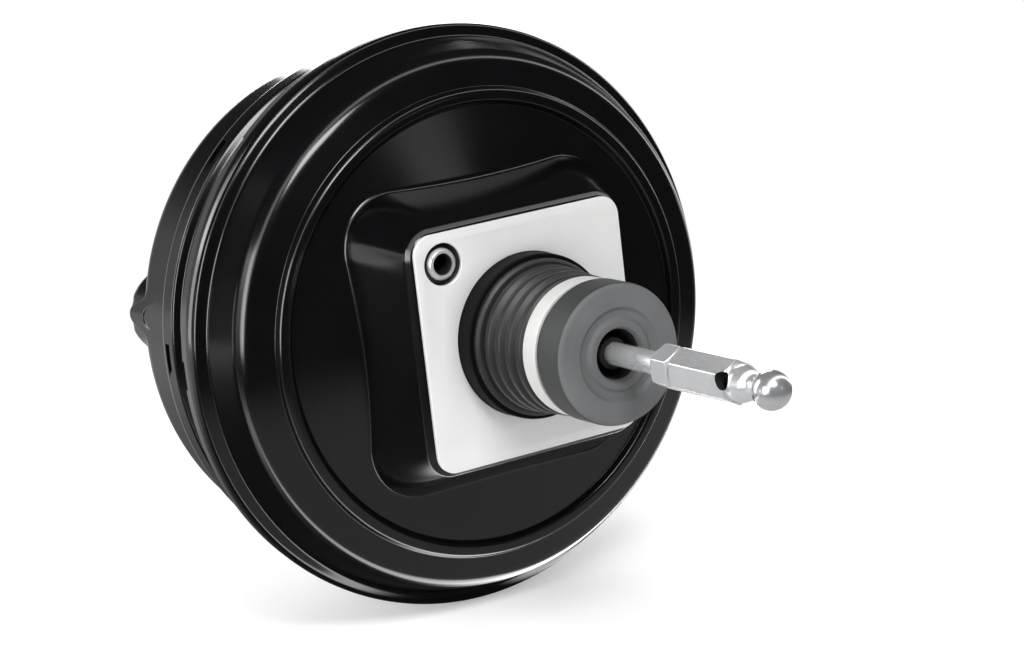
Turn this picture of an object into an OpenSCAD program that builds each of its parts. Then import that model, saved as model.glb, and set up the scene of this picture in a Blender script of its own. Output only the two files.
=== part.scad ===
// Tandem vacuum brake booster with two pressed shells, two hollow tie rods and a ball-ended input rod.
// Axis along Y: the mounting face lies at y = 0, the pedal side is -Y and the engine side is +Y.
// The mounting plate's edges run along X and Z, and X is to the right seen from the pedal side.

/* [Shells] */
// Thickness of the pressed steel sheet
shell_t = 2.2; // [1.8:0.1:2.6]
// Distance from the mounting face to the front shell's raised pad
body_len = 168; // [160:1:180]
// Outside radius of the rear shell's rim band
rim_r = 135; // [132:0.5:142]
// Distance from the mounting face to the front edge of the rim band
rim_y = 75.5; // [73:0.5:79]
// Length of the rim band
rim_len = 12.5; // [10:0.5:14]
// Radial width of the bead, the shoulder and the cone between the rear dome and the rim band
dome_margin = 36; // [33:0.5:43]
// Distance from the mounting face to the edge of the rear dome
dome_y = 36.5; // [34:0.5:39]
// Slope of the rear dome, as rise for each unit of radius
dome_slope = 0.19; // [0.12:0.01:0.24]
// Width of the pressed bead round the rear dome
bead_w = 9.5; // [7:0.5:12]
// Height of the pressed bead above the dome's edge
bead_h = 2.5; // [1.5:0.1:3]
// Distance of the rear shell's shoulder inwards from the rim band
shoulder_inset = 13.5; // [11:0.5:16]
// Distance along the axis from the dome's edge to the shoulder
shoulder_rise = 6; // [4.5:0.5:8]
// Width of the radial step between the rear cone and the rim band
rim_step = 4.5; // [4:0.5:6]
// Width of the square boss outside the mounting plate
boss_margin = 2; // [1:0.5:4]
// Growth of the boss's half width from the plate down to the dome
boss_flare = 15.5; // [12:0.5:18]
// Distance of the boss's corner axes from the centre planes
boss_core = 43; // [40:0.5:46]
// Outside radius of the neck that the rod passes through
neck_r = 36.6; // [35:0.2:38]
// Length of the neck behind the mounting face
neck_len = 8.5; // [7:0.5:10]
// Width of the front shell's flange inside the rim band
flange_w = 5.3; // [4:0.1:7]
// Length of the front shell's wall between the rim band and the cone
waist_len = 13.5; // [11:0.5:15]
// Radial step from the front shell's wall down to its waist
waist_step = 6.2; // [5:0.2:7]
// Radial height of the front shell's ridge above its waist
ridge_rise = 3.8; // [3:0.2:4.6]
// Distance from the rim band to the rear edge of the ridge
ridge_gap = 28.5; // [27:0.5:30]
// Width of the ridge
ridge_w = 10; // [9:0.5:12]
// Radial step from the ridge down to the front shell's drum
drum_step = 7; // [5.5:0.5:8]
// Depth of the groove between the ridge and the drum
groove_depth = 1.2; // [0.5:0.1:2]
// Radial width of the bevel at the drum's front corner
bevel_r = 12.5; // [9:0.5:16]
// Axial length of the bevel at the drum's front corner
bevel_len = 19; // [14:0.5:22]
// Height of the raised pad above the front face
pad_h = 3; // [2:0.2:4]
// Half width of the raised pad
pad_half = 65; // [62:0.5:70]
// Distance of the raised pad's corner axes from the centre planes
pad_core = 21; // [15:0.5:26]
// Radius of the hole for the master cylinder
pilot_r = 26.2; // [24:0.1:28]
// Width of the raised rim round that hole
pilot_rim_w = 11.5; // [8:0.5:14]
// Height of the raised rim round that hole
pilot_rim_h = 1.5; // [1:0.1:2]

/* [Port lug and ear] */
// Width of the lug's flat, inwards from the drum's side
lug_depth = 39; // [34:0.5:46]
// Radial height of the lug above the drum's side
lug_rise = 1.8; // [1.6:0.1:2.6]
// Lowest edge of the lug
lug_low = -20; // [-26:0.5:-15]
// Highest edge of the lug
lug_high = 50; // [44:0.5:54]
// Depth of the lug's flat below the front face
lug_drop = 2.2; // [1:0.1:3]
// Distance of the vacuum port's axis inwards from the drum's side
port_inset = 25; // [20:0.5:28]
// Height of the vacuum port
port_z = -1; // [-4:0.5:4]
// Radius of the vacuum port
port_r = 6; // [5:0.1:7]
// Width of the port ring
port_ring_w = 5; // [3:0.1:6]
// Thickness of the port ring
port_ring_t = 1.2; // [0.8:0.1:2]
// Width of the port ring's tongue
tongue_w = 4.4; // [3:0.1:6]
// Length of the port ring's tongue from the port's centre
tongue_len = 31; // [24:0.5:38]
// Distance of the ear's axis inwards from the drum's side
ear_inset = 19; // [17:0.5:22]
// Height of the ear's axis
ear_z = 12; // [6:0.5:18]
// Radius of the ear
ear_r = 19; // [17:0.5:21]
// Length of the ear
ear_len = 25; // [20:0.5:30]
// Angle at which the corner pocket starts
pocket_from = -46; // [-50:1:-40]
// Angle at which the corner pocket ends
pocket_to = -14; // [-20:1:-10]
// Depth of the corner pocket below the bevel
pocket_depth = 4.5; // [3:0.5:6]

/* [Crimp tabs] */
// Number of crimp tabs in each row
tab_count = 8; // [6:1:9]
// Width of a crimp tab
tab_w = 10; // [7:0.5:12]
// Length of a crimp tab along the axis
tab_len = 3; // [2:0.2:3.4]
// Depth of the dent that a crimp tab leaves
tab_depth = 1; // [0.6:0.1:1.2]

/* [Mounting plate] */
// Width of the mounting plate outside the tie-rod windows
plate_edge = 3.9; // [3:0.1:6]
// Thickness of the mounting plate
plate_t = 2; // [1.5:0.1:3]
// Corner radius of the mounting plate
plate_corner = 9; // [6:0.5:12]
// Radius of the two tie-rod windows in the mounting plate
window_r = 10; // [9:0.1:11]

/* [Tie rods] */
// Diameter of the circle through both tie rods
tie_pitch = 112; // [110:0.5:116]
// Outside radius of a tie rod
tie_r = 7.2; // [6.8:0.1:7.6]
// Radius of a tie rod's bore
tie_bore_r = 4.8; // [4.2:0.1:5.2]
// Length of the stud in front of the pad
stud_len = 18.3; // [15:0.1:24]
// Width of the shoulders that hold the shells apart
shoulder_w = 2.8; // [2:0.1:3]
// Length of a shoulder
shoulder_len = 3.6; // [2.5:0.1:5]
// Radius of a stud collar
collar_r = 10.5; // [9.5:0.1:12]
// Length of a stud collar
collar_len = 5; // [3:0.1:6]
// Thickness of the gaskets between shoulders and shells
gasket_t = 1.5; // [1:0.1:2]

/* [Pistons and divider] */
// Stroke of the pistons
stroke = 30; // [28:0.5:31]
// Thickness of the divider's sheet
divider_t = 1.8; // [1.4:0.1:2.2]
// Depth of the divider's cup behind its flange
divider_depth = 12.6; // [11:0.2:14]
// Width of the divider's flange round its cup
divider_flange_w = 8.5; // [7.8:0.1:9.8]
// Thickness of the diaphragms
diaphragm_t = 2; // [1.5:0.1:2.2]
// Thickness of the piston plates
piston_t = 1.6; // [1.2:0.1:2]
// Thickness of the retaining clips
clip_t = 2; // [1.5:0.1:2.4]
// Radial room between the rear piston plate and the rim band's outside
rear_piston_room = 27; // [26:0.5:31]
// Radial room between the front piston plate and the divider's cup
front_piston_room = 9.8; // [8.8:0.2:15]
// Height of the piston plates' rims
piston_rim = 6; // [4:0.5:7]
// Radial reach of the rear diaphragm's roll beyond its plate
rear_roll = 9; // [6:0.2:9.2]
// Radial reach of the front diaphragm's roll beyond its plate
front_roll = 5.6; // [5.2:0.1:6.5]
// Wire diameter of the return spring
return_wire = 4; // [3:0.2:4.6]
// Turns of the return spring
return_turns = 5.5; // [4:0.5:6.5]
// Mean radius of the return spring's rear end
return_r = 34; // [32.6:0.2:35]
// Growth of the return spring's mean radius towards its front end
return_flare = 4; // [0:0.5:5]

/* [Valve body] */
// Outside radius of the valve body's tube
valve_r = 20; // [19:0.1:21]
// Wall of the valve body's tube
valve_wall = 2.8; // [2.2:0.1:3]
// Reach of the valve body's tube behind the mounting face
valve_back = 50; // [48:0.5:52]
// Distance of the vacuum seat behind the mounting face
seat_back = 12; // [11:0.2:13]
// Distance from the vacuum seat forwards to the centre of the input rod's inner ball
ball_depth = 7; // [6:0.5:8]
// Space for the poppet's spring between the poppet and its retainer
poppet_spring_room = 8.5; // [8:0.5:9.5]
// Space for the rod's return spring between the retainer and the collar
rod_spring_room = 10.5; // [9.5:0.5:11.5]
// Radius of the hub that carries the pistons
hub_r = 24; // [23:0.1:25]
// Radius of the flange behind the rear piston
hub_flange_r = 34; // [31:0.5:40]
// Thickness of the flange behind the rear piston
hub_flange_t = 4; // [3:0.2:5]
// Length of the valve body in front of its front step
nose_len = 7; // [6:0.2:9]
// Radius of the reaction disc's cavity
cavity_r = 14.1; // [13:0.1:14.4]
// Thickness of the reaction disc
disc_t = 8; // [6:0.5:10]
// Distance from the reaction disc's seat to the nose
cavity_depth = 29; // [26:0.5:32]
// Travel of the plunger in the valve body
valve_travel = 3; // [2:0.1:3.4]
// Travel of the poppet onto the vacuum seat
poppet_travel = 1; // [0.6:0.1:1.2]
// Radius of the plunger
plunger_r = 8; // [7.6:0.1:8.4]
// Outside radius of the plunger's rear rim
plunger_rim_r = 10.6; // [10.2:0.1:11]
// Thickness of the stop key
key_t = 3; // [2:0.1:3.5]
// Width of the stop key
key_w = 16; // [14:0.5:18]
// Reach of the stop key from the axis
key_reach = 27; // [25:0.5:29]
// Radius of a channel along the valve body
channel_r = 1.2; // [1:0.1:1.3]

/* [Boot] */
// Length of the boot's lip on the neck
lip_len = 3.5; // [2.5:0.1:5]
// Outside radius of the boot's lip
lip_r = 35; // [34:0.1:36]
// Number of ribs of the boot
rib_count = 4; // [3:1:5]
// Length of one rib of the boot
rib_len = 7.5; // [6.5:0.1:8.2]
// Outside radius of the ribs
rib_r = 32.6; // [31.6:0.1:33.6]
// Height of the ribs
rib_h = 3; // [2:0.1:3.6]
// Thickness of the boot's wall
boot_t = 1.6; // [1.2:0.1:2]
// Length of the white band
band_len = 10; // [8:0.5:12]
// Outside radius of the white band
band_r = 30.5; // [30:0.1:31.5]
// Thickness of the white band
band_t = 1.4; // [1:0.1:1.8]
// Length of the boot's end ring
end_len = 20; // [16:0.5:24]
// Outside radius of the end ring
end_r = 31; // [29:0.1:33]
// Radius of the hole in the end ring
end_hole_r = 11; // [10.5:0.1:12]

/* [Input rod] */
// Radius of the input rod
input_r = 5; // [4.6:0.1:5.4]
// Radius of the rod's inner ball
joint_ball_r = 5.5; // [5.2:0.1:5.8]
// Width across the flats of the lock nut and the ball sleeve
hex_af = 17; // [16:0.1:19]
// Length of the lock nut
nut_len = 12; // [9:0.5:14]
// Length of the ball sleeve
sleeve_len = 44.5; // [38:0.5:52]
// Length of the rod's thread that shows behind the lock nut inside the sleeve
thread_grip = 9; // [8:0.5:16]
// Radius of the neck between the sleeve and the ball
ball_neck_r = 4; // [3.6:0.1:5]
// Distance from the sleeve to the ball's centre
ball_reach = 15; // [13:0.5:18]
// Radius of the ball at the pedal end
ball_r = 8.3; // [7.8:0.1:9]
// Radius of the witness hole in the sleeve
witness_r = 2.5; // [1.5:0.1:3]

/* [Hidden] */
$fn = 96;

// Running fit between sliding faces
fit = 0.1;
// Gap between a piece and the seat that it lies on
seat_gap = 0.1;
// Gap between curved faces that touch in the real assembly
clear = 0.3;
// Overlap that lets a cut run past a face
cut = 1;

// Angles of the upper and the lower tie rod in the X-Z plane
tie_angles = [135, -45];
function tie_place(angle) = [tie_pitch / 2 * cos(angle), 0, tie_pitch / 2 * sin(angle)];

// Half widths of the mounting plate and of the boss under it
plate_half = tidy(abs(tie_place(tie_angles[0]).x) + window_r + plate_edge);
boss_half = plate_half + boss_margin;

// Stations along the axis
boss_y = plate_t;
rear_inside_y = boss_y + shell_t;
face_y = body_len - pad_h;
front_inside_y = body_len - shell_t;
stud_y = body_len + stud_len;
flange_y = rim_y - tab_len;
ridge_y = rim_y + ridge_gap;
lug_y = face_y - lug_drop;

// Rear shell's radii
rim_inner_r = rim_r - shell_t;
dome_r = rim_r - dome_margin;
cone_r = rim_r - rim_step;
cone_y = rim_y - rim_len - 1.7;
bead_end_r = dome_r + 1.5 + bead_w;

// Outside of the rear shell as [radius, y], from the axis to the rim band's front edge
dome_flat_r = boss_half - 15;
rear_corners = [
    [0, dome_y - dome_slope * (dome_r - dome_flat_r)],
    [dome_flat_r, dome_y - dome_slope * (dome_r - dome_flat_r)],
    [dome_r, dome_y],
    [dome_r + 3, dome_y - bead_h],
    [bead_end_r - 3, dome_y - bead_h],
    [bead_end_r, dome_y + 1],
    [rim_r - shoulder_inset, dome_y + shoulder_rise],
    [cone_r, cone_y],
    [rim_r, rim_y - rim_len],
    [rim_r, rim_y]
];
rear_rounding = [0, 4, 3, 2.5, 3.5, 4, 7, 3, 3.2, 0];

// Front shell's radii
front_wall_r = rim_r - shell_t - fit - flange_w;
waist_r = front_wall_r - waist_step;
ridge_r = waist_r + ridge_rise;
drum_r = ridge_r - drum_step;
lug_x = drum_r - lug_depth;
lug_r = drum_r + lug_rise;
port_x = drum_r - port_inset;
ear_x = drum_r - ear_inset;

// Outside of the front shell as [radius, y], from the flange to the axis
front_corners = [
    [front_wall_r, flange_y],
    [front_wall_r, rim_y + waist_len],
    [waist_r, rim_y + waist_len + 8.5],
    [waist_r, ridge_y - 4],
    [ridge_r, ridge_y],
    [ridge_r, ridge_y + ridge_w],
    [drum_r - groove_depth, ridge_y + ridge_w + 5],
    [drum_r, ridge_y + ridge_w + 8.5],
    [drum_r, face_y - bevel_len],
    [drum_r - bevel_r, face_y],
    [0, face_y]
];
front_rounding = [0, 6, 4, 2.5, 4, 3.5, 3, 4, 12, 8, 0];

// Divider between the two pistons
divider_flange_y = ridge_y + 0.7;
divider_flange_r = ridge_r - shell_t - 0.5;
divider_cup_r = divider_flange_r - divider_flange_w;
divider_y = divider_flange_y - divider_depth;
divider_cup_len = 6;
divider_hub_y = divider_y - divider_cup_len;

// Piston stacks, each a diaphragm, a plate and a clip on the valve body
stack = diaphragm_t + piston_t + clip_t;
end_gap = 4.4;
rear_piston_r = rim_r - rear_piston_room;
front_piston_r = divider_cup_r - front_piston_room;
rear_stack_y = divider_hub_y - end_gap - stroke - stack;
front_stack_y = divider_y + divider_t + 2.2;
nose_r = hub_r - 2.5;
nose_y = front_stack_y + nose_len;
cavity_y = nose_y - cavity_depth;
rod_hole_r = tie_r + 3.3;

// Control valve, placed from its vacuum seat
seat_y = -seat_back;
valve_bore_r = valve_r - valve_wall;
pocket_floor_y = seat_y + 2;
plunger_face_y = seat_y - poppet_travel + 0.05;
counter_r = plunger_rim_r + 0.8;
counter_y = plunger_face_y + 5 + valve_travel + clear;
seat_inner_r = counter_r + 1;
seat_outer_r = seat_inner_r + 2;
ball_y = seat_y + ball_depth;
bearing_y = 0.3;
bearing_len = 7.7;
key_y = bearing_y + bearing_len + 0.4;
groove_r = 5;
poppet_t = 3;
poppet_y = plunger_face_y - 0.05 - poppet_t;
poppet_inner_r = plunger_r - 0.4;
poppet_outer_r = seat_outer_r + 1.1;
retainer_y = poppet_y - poppet_spring_room;
retainer_t = 1.5;
retainer_hole_r = 8;
poppet_spring_r = poppet_outer_r - 3.9;
rod_collar_y = retainer_y - retainer_t - rod_spring_room;
rod_collar_t = 1.5;
rod_collar_r = 10.5;
rod_spring_r = rod_collar_r - 1.1;
silencer_y = rod_collar_y - rod_collar_t - 1.2;
filter_hole_r = 8;

// Boot stations behind the mounting face
ribs_y = -neck_len - lip_len;
band_y = ribs_y - rib_count * rib_len;
end_y = band_y - band_len;
boot_rear_y = end_y - end_len;

// Input rod's stations
nut_y = boot_rear_y - stroke - valve_travel - 1;
sleeve_y = nut_y - nut_len - 1;
ball_centre_y = sleeve_y - sleeve_len - ball_reach;
hex_r = hex_af / 2 / cos(30);

// Sheets and curves

function unit(v) = v / norm(v);
function left_of(a, b) = let (d = unit(b - a)) [-d.y, d.x];

// Length rounded to a hundredth, so that planes and cones that meet along an edge meet exactly
function tidy(v) = round(v * 100) / 100;
function tidy_point(q) = [tidy(q.x), tidy(q.y)];

// Outline moved to its left by t, with mitred corners
function shifted(p, t) = [
    for (i = [0 : len(p) - 1])
        let (
            before = left_of(p[max(i - 1, 0)], p[max(i, 1)]),
            after = left_of(p[min(i, len(p) - 2)], p[min(i + 1, len(p) - 1)])
        )
        tidy_point(p[i] + (before + after) * t / (1 + before * after))
];

// Arc of radius r that rounds the corner b between a and c
function corner_arc(a, b, c, r) =
    let (
        u = unit(a - b),
        v = unit(c - b),
        half = acos(u * v) / 2,
        centre = b + unit(u + v) * r / sin(half),
        start = b + u * r / tan(half) - centre,
        turn = (180 - 2 * half) * sign(u.y * v.x - u.x * v.y),
        steps = max(2, ceil(abs(turn) / 12))
    )
    [
        for (k = [0 : steps])
            let (w = turn * k / steps)
            centre + [start.x * cos(w) - start.y * sin(w), start.x * sin(w) + start.y * cos(w)]
    ];

// Outline with each corner rounded by its own radius, and 0 for a sharp one
function rounded(p, radii) = [
    for (i = [0 : len(p) - 1])
        for (q = radii[i] == 0 ? [p[i]] : corner_arc(p[i - 1], p[i], p[i + 1], radii[i])) q
];

// Solid of revolution about the Y axis from [radius, y] points
module spin(points) rotate([-90, 0, 0]) rotate_extrude() polygon(points);

// Ring about the Y axis
module ring(inner, outer, y, length)
    spin([[inner, y], [outer, y], [outer, y + length], [inner, y + length]]);

// Cylinder about the Y axis
module rod(radius, y, length) translate([0, y, 0]) rotate([-90, 0, 0]) cylinder(r = radius, h = length);

// Flat shape in the X-Z plane with its rear face at y
module slab(y, thickness) translate([0, y + thickness, 0]) rotate([90, 0, 0]) linear_extrude(thickness) children();

// Children at both tie rods
module at_tie_rods() for (angle = tie_angles) translate(tie_place(angle)) children();

// Frustum along Y with a square section, its corners rounded about axes at the core distance
module square_frustum(y0, half0, y1, half1, core) {
    side = [[-half0, y0], [half0, y0], [half1, y1], [-half1, y1]];
    for (turn = [0, 90])
        rotate([0, turn, 0])
            translate([0, 0, -core])
                linear_extrude(2 * core) polygon(side);
    for (x = [-core, core], z = [-core, core])
        translate([x, y0, z])
            rotate([-90, 0, 0])
                cylinder(h = y1 - y0, r1 = half0 - core, r2 = half1 - core);
}

// Stack of square frusta that follows an outline of [half width, y] points
module square_stack(outline, core)
    for (i = [0 : len(outline) - 2])
        square_frustum(outline[i].y, outline[i].x, outline[i + 1].y, outline[i + 1].x, core);

// Round wire of radius wire_r along a helix whose mean radius runs from r0 to r1
module coil(r0, r1, wire_r, y0, y1, turns, sides = 8, per_turn = 24) {
    steps = ceil(turns * per_turn);
    lead = (y1 - y0) / turns / 360 * 180 / PI;
    points = [
        for (i = [0 : steps], j = [0 : sides - 1])
            let (
                s = i / steps,
                a = 360 * turns * s,
                r = r0 + (r1 - r0) * s,
                tilt = atan(lead / r),
                w = 360 * j / sides,
                out = wire_r * cos(w),
                up = wire_r * sin(w)
            )
            [
                (r + out) * cos(a) + up * sin(tilt) * sin(a),
                y0 + (y1 - y0) * s + up * cos(tilt),
                -(r + out) * sin(a) + up * sin(tilt) * cos(a)
            ]
    ];
    walls = [
        for (i = [0 : steps - 1], j = [0 : sides - 1])
            let (a = i * sides + j, b = i * sides + (j + 1) % sides)
            [a, a + sides, b + sides, b]
    ];
    ends = [
        [for (j = [0 : sides - 1]) j],
        [for (j = [sides - 1 : -1 : 0]) steps * sides + j]
    ];
    polyhedron(points, concat(walls, ends));
}

// Hexagonal bar about the Y axis
module hex_bar(y, length) translate([0, y, 0]) rotate([-90, 30, 0]) cylinder(r = hex_r, h = length, $fn = 6);

// Crimp tabs or their dents, as blocks between two radii with their rear faces at y
module tab_row(r0, r1, y)
    for (k = [0 : tab_count - 1])
        rotate([0, -360 / tab_count * k, 0])
            translate([r0, y, -tab_w / 2])
                cube([r1 - r0, tab_len, tab_w]);

// Shells

boss_outline = [
    [boss_half - 1.8, boss_y],
    [boss_half + 0.6, boss_y + 2.6],
    [boss_half + boss_flare, dome_y]
];

// Filled form of the rear shell, smaller by inset all over
module rear_form(inset) {
    outline = shifted(rounded(rear_corners, rear_rounding), inset);
    mouth_y = rim_y + (inset > 0 ? cut : 0);
    last = outline[len(outline) - 1];
    spin(concat(outline, [[last.x, mouth_y], [0, mouth_y]]));
    square_stack(shifted(boss_outline, inset), boss_core);
    rod(neck_r - inset, -neck_len - (inset > 0 ? cut : 0), neck_len + dome_y);
}

module rear_shell() color("#121214") {
    difference() {
        rear_form(0);
        rear_form(shell_t);
        at_tie_rods() rod(tie_r + fit, boss_y - cut, shell_t + 2 * cut);
        tab_row(rim_r - tab_depth, rim_r + cut, flange_y + 0.4);
    }
    tab_row(front_wall_r + 2, rim_inner_r + shell_t / 2, flange_y);
}

// Recess that flattens the drum's corner next to the lug, grown by inset
module corner_pocket(inset) {
    spread = inset / drum_r * 180 / PI;
    depth = pocket_depth + inset;
    r1 = drum_r + 8;
    y0 = face_y - bevel_len - depth;
    r2 = drum_r - bevel_r - depth;
    rotate([-90, 0, 0])
        rotate([0, 0, -pocket_to - spread])
            rotate_extrude(angle = pocket_to - pocket_from + 2 * spread)
                polygon([
                    [drum_r, y0],
                    [r2, face_y - 2],
                    [r2, face_y + 12],
                    [r1, face_y + 12],
                    [r1, y0]
                ]);
}

// Block that holds the lug's place in X and Z, smaller by inset
module lug_block(inset, y0, y1)
    translate([lug_x + inset, y0, lug_low + inset])
        cube([2 * drum_r, y1 - y0, lug_high - lug_low - 2 * inset]);

// Filled form of the front shell, smaller by inset all over
module front_form(inset) {
    outline = shifted(rounded(front_corners, front_rounding), inset);
    mouth_y = flange_y - shell_t - (inset > 0 ? cut : 0);
    difference() {
        spin(concat([[0, mouth_y], [outline[0].x, mouth_y]], outline));
        corner_pocket(inset);
        lug_block(-inset, lug_y - inset, body_len + cut);
    }
    intersection() {
        lug_block(inset, ridge_y + ridge_w + 10, lug_y - inset);
        spin([
            [0, ridge_y + ridge_w + 10],
            [drum_r - inset, ridge_y + ridge_w + 10],
            [drum_r - inset, lug_y - 24],
            [lug_r - inset, lug_y - 18],
            [lug_r - inset, lug_y - 3 - inset / 2],
            [lug_r - 3 - inset / 2, lug_y - inset],
            [0, lug_y - inset]
        ]);
    }
    translate([-ear_x, lug_y - ear_len, ear_z])
        rotate([-90, 0, 0]) {
            cylinder(r1 = ear_r - 9 - inset, r2 = ear_r - inset, h = 9);
            translate([0, 0, 9]) cylinder(r = ear_r - inset, h = ear_len - 9 - 2 - inset);
            translate([0, 0, ear_len - 2 - inset]) cylinder(r1 = ear_r - inset, r2 = ear_r - inset - 2, h = 2);
        }
    square_stack(
        shifted([[pad_half + 2.2, face_y - 3], [pad_half + 2.2, face_y], [pad_half - 1.8, body_len]], inset),
        pad_core
    );
    rod(pilot_r + pilot_rim_w - inset, face_y - 4, pad_h + 4 + pilot_rim_h - inset);
}

module front_shell() color("#121214")
    difference() {
        union() {
            front_form(0);
            ring(front_wall_r - shell_t, rim_inner_r - fit, flange_y - shell_t, shell_t);
        }
        front_form(shell_t);
        rod(pilot_r, body_len - 3 * shell_t, 6 * shell_t);
        at_tie_rods() rod(tie_r + fit, body_len - 2 * shell_t, 4 * shell_t);
        translate([port_x, 0, port_z]) rod(port_r, lug_y - 2 * shell_t, 3 * shell_t);
        tab_row(ridge_r - tab_depth, ridge_r + cut, ridge_y + ridge_w / 2 - tab_len / 2);
    }

module mounting_plate() color("#c9c8c4")
    slab(0, plate_t)
        difference() {
            union() {
                corner = plate_half - plate_corner;
                square([2 * plate_half, 2 * corner], center = true);
                square([2 * corner, 2 * plate_half], center = true);
                for (x = [-corner, corner], z = [-corner, corner])
                    translate([x, z]) circle(r = plate_corner);
            }
            circle(r = neck_r + 0.4);
            for (angle = tie_angles)
                translate([tie_place(angle).x, tie_place(angle).z]) circle(r = window_r);
        }

module centre_plate() color("#8b8d90")
    difference() {
        spin([
            [hub_r + 1, divider_hub_y],
            [hub_r + 6, divider_hub_y],
            [hub_r + 6, divider_y],
            [divider_cup_r, divider_y],
            [divider_cup_r, divider_flange_y],
            [divider_flange_r, divider_flange_y],
            [divider_flange_r, divider_flange_y + divider_t],
            [divider_cup_r - divider_t, divider_flange_y + divider_t],
            [divider_cup_r - divider_t, divider_y + divider_t],
            [hub_r + 6 - divider_t, divider_y + divider_t],
            [hub_r + 6 - divider_t, divider_hub_y + divider_t],
            [hub_r + 1, divider_hub_y + divider_t]
        ]);
        at_tie_rods() rod(rod_hole_r, divider_y - cut, divider_t + 2 * cut);
    }

// Tie rods

module tie_rod(angle) color("#b9bcc0")
    translate(tie_place(angle))
        spin([
            [tie_bore_r, 0],
            [tie_r - 0.6, 0],
            [tie_r, 0.6],
            [tie_r, rear_inside_y + gasket_t + 2 * seat_gap],
            [tie_r + shoulder_w, rear_inside_y + gasket_t + 2 * seat_gap],
            [tie_r + shoulder_w, rear_inside_y + gasket_t + 2 * seat_gap + shoulder_len],
            [tie_r, rear_inside_y + gasket_t + 2 * seat_gap + shoulder_len],
            [tie_r, front_inside_y - gasket_t - 2 * seat_gap - shoulder_len],
            [tie_r + shoulder_w, front_inside_y - gasket_t - 2 * seat_gap - shoulder_len],
            [tie_r + shoulder_w, front_inside_y - gasket_t - 2 * seat_gap],
            [tie_r, front_inside_y - gasket_t - 2 * seat_gap],
            [tie_r, stud_y - 1],
            [tie_r - 1, stud_y],
            [tie_bore_r, stud_y]
        ]);

module tie_rod_upper() tie_rod(tie_angles[0]);

module tie_rod_lower() tie_rod(tie_angles[1]);

module tie_rod_collars() color("#a9acb0")
    at_tie_rods()
        spin([
            [tie_r + fit / 2, body_len],
            [collar_r, body_len],
            [collar_r, body_len + collar_len - 1],
            [collar_r - 1, body_len + collar_len],
            [tie_r + fit / 2, body_len + collar_len]
        ]);

module tie_rod_gaskets() color("#1b1b1b")
    at_tie_rods()
        for (y = [rear_inside_y + seat_gap, front_inside_y - seat_gap - gasket_t])
            ring(tie_r + fit, tie_r + shoulder_w, y, gasket_t);

// Seal rings round both tie rods in a sheet stack that spans y to y + length
module rod_seals(y, length) color("#1b1b1b")
    at_tie_rods()
        spin([
            [tie_r + fit, y - 0.5],
            [rod_hole_r - fit, y - 0.5],
            [rod_hole_r - fit, y + length + 1],
            [rod_hole_r - 1.4, y + length + 1.6],
            [tie_r + fit, y + length + 1.6]
        ]);

module rear_rod_seals() rod_seals(rear_stack_y, diaphragm_t + piston_t);

module front_rod_seals() rod_seals(front_stack_y, diaphragm_t + piston_t);

module divider_rod_seals() rod_seals(divider_y, divider_t - 0.8);

// Pistons and diaphragms

// Rubber disc behind a plate, with a raised edge and a roll of the given reach round the plate's rim
module diaphragm(y, inner, plate_r, reach) color("#222224")
    difference() {
        wall_r = plate_r + clear;
        roll_r = wall_r + reach;
        top_y = y + diaphragm_t + piston_rim;
        spin([
            [inner, y],
            [wall_r + diaphragm_t, y],
            [wall_r + diaphragm_t, top_y - 0.5],
            [roll_r - diaphragm_t, top_y - 0.5],
            [roll_r - diaphragm_t, top_y - 3.5],
            [roll_r, top_y - 3.5],
            [roll_r, top_y + 0.4],
            [roll_r - 1.1, top_y + 1.5],
            [wall_r + 1.1, top_y + 1.5],
            [wall_r, top_y + 0.4],
            [wall_r, y + diaphragm_t],
            [inner, y + diaphragm_t]
        ]);
        at_tie_rods() rod(rod_hole_r, y - cut, diaphragm_t + 2 * cut);
    }

module rear_diaphragm() diaphragm(rear_stack_y, hub_r + fit, rear_piston_r, rear_roll);

module front_diaphragm() diaphragm(front_stack_y, nose_r + fit, front_piston_r, front_roll);

// Clamped edge of the rear diaphragm between the rear shell's step and the front shell's flange
module rear_diaphragm_bead() color("#222224") {
    top = flange_y - shell_t - seat_gap;
    spin([
        [cone_r - 11, top - 3.2],
        [cone_r - 4, top - 3.2],
        [cone_r - 2.4, top - 4.2],
        [rim_inner_r - 0.4, top - 4.2],
        [rim_inner_r - 0.4, top],
        [cone_r - 4, top],
        [cone_r - 4, top - 1.2],
        [cone_r - 11, top - 1.2]
    ]);
}

// Clamped edge of the front diaphragm on the divider's flange
module front_diaphragm_bead() color("#222224") {
    low = divider_flange_y + divider_t + seat_gap;
    spin([
        [divider_cup_r - 1.2, low],
        [divider_flange_r, low],
        [divider_flange_r, low + 5],
        [divider_flange_r - 4, low + 5],
        [divider_flange_r - 5.5, low + 2],
        [divider_cup_r - 1.2, low + 2]
    ]);
}

// Pressed plate of a piston with a rim on its outer edge
module piston_plate(y, inner, outer) color("#9a9da1")
    difference() {
        spin([
            [inner, y],
            [outer - 1, y],
            [outer, y + 1],
            [outer, y + piston_rim],
            [outer - piston_t, y + piston_rim],
            [outer - piston_t, y + piston_t],
            [inner, y + piston_t]
        ]);
        at_tie_rods() rod(rod_hole_r, y - cut, piston_t + 2 * cut);
    }

module rear_piston_plate() piston_plate(rear_stack_y + diaphragm_t, hub_r + fit, rear_piston_r);

module front_piston_plate() piston_plate(front_stack_y + diaphragm_t, nose_r + fit, front_piston_r);

// Toothed retaining ring pressed on the valve body
module plate_clip(y, inner) color("#6f7276")
    difference() {
        ring(inner, inner + 6, y, clip_t);
        for (k = [0 : 5])
            rotate([0, 60 * k, 0])
                translate([inner - cut, y - cut, -1])
                    cube([cut + 2.5, clip_t + 2 * cut, 2]);
    }

module rear_plate_clip() plate_clip(rear_stack_y + diaphragm_t + piston_t, hub_r);

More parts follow.
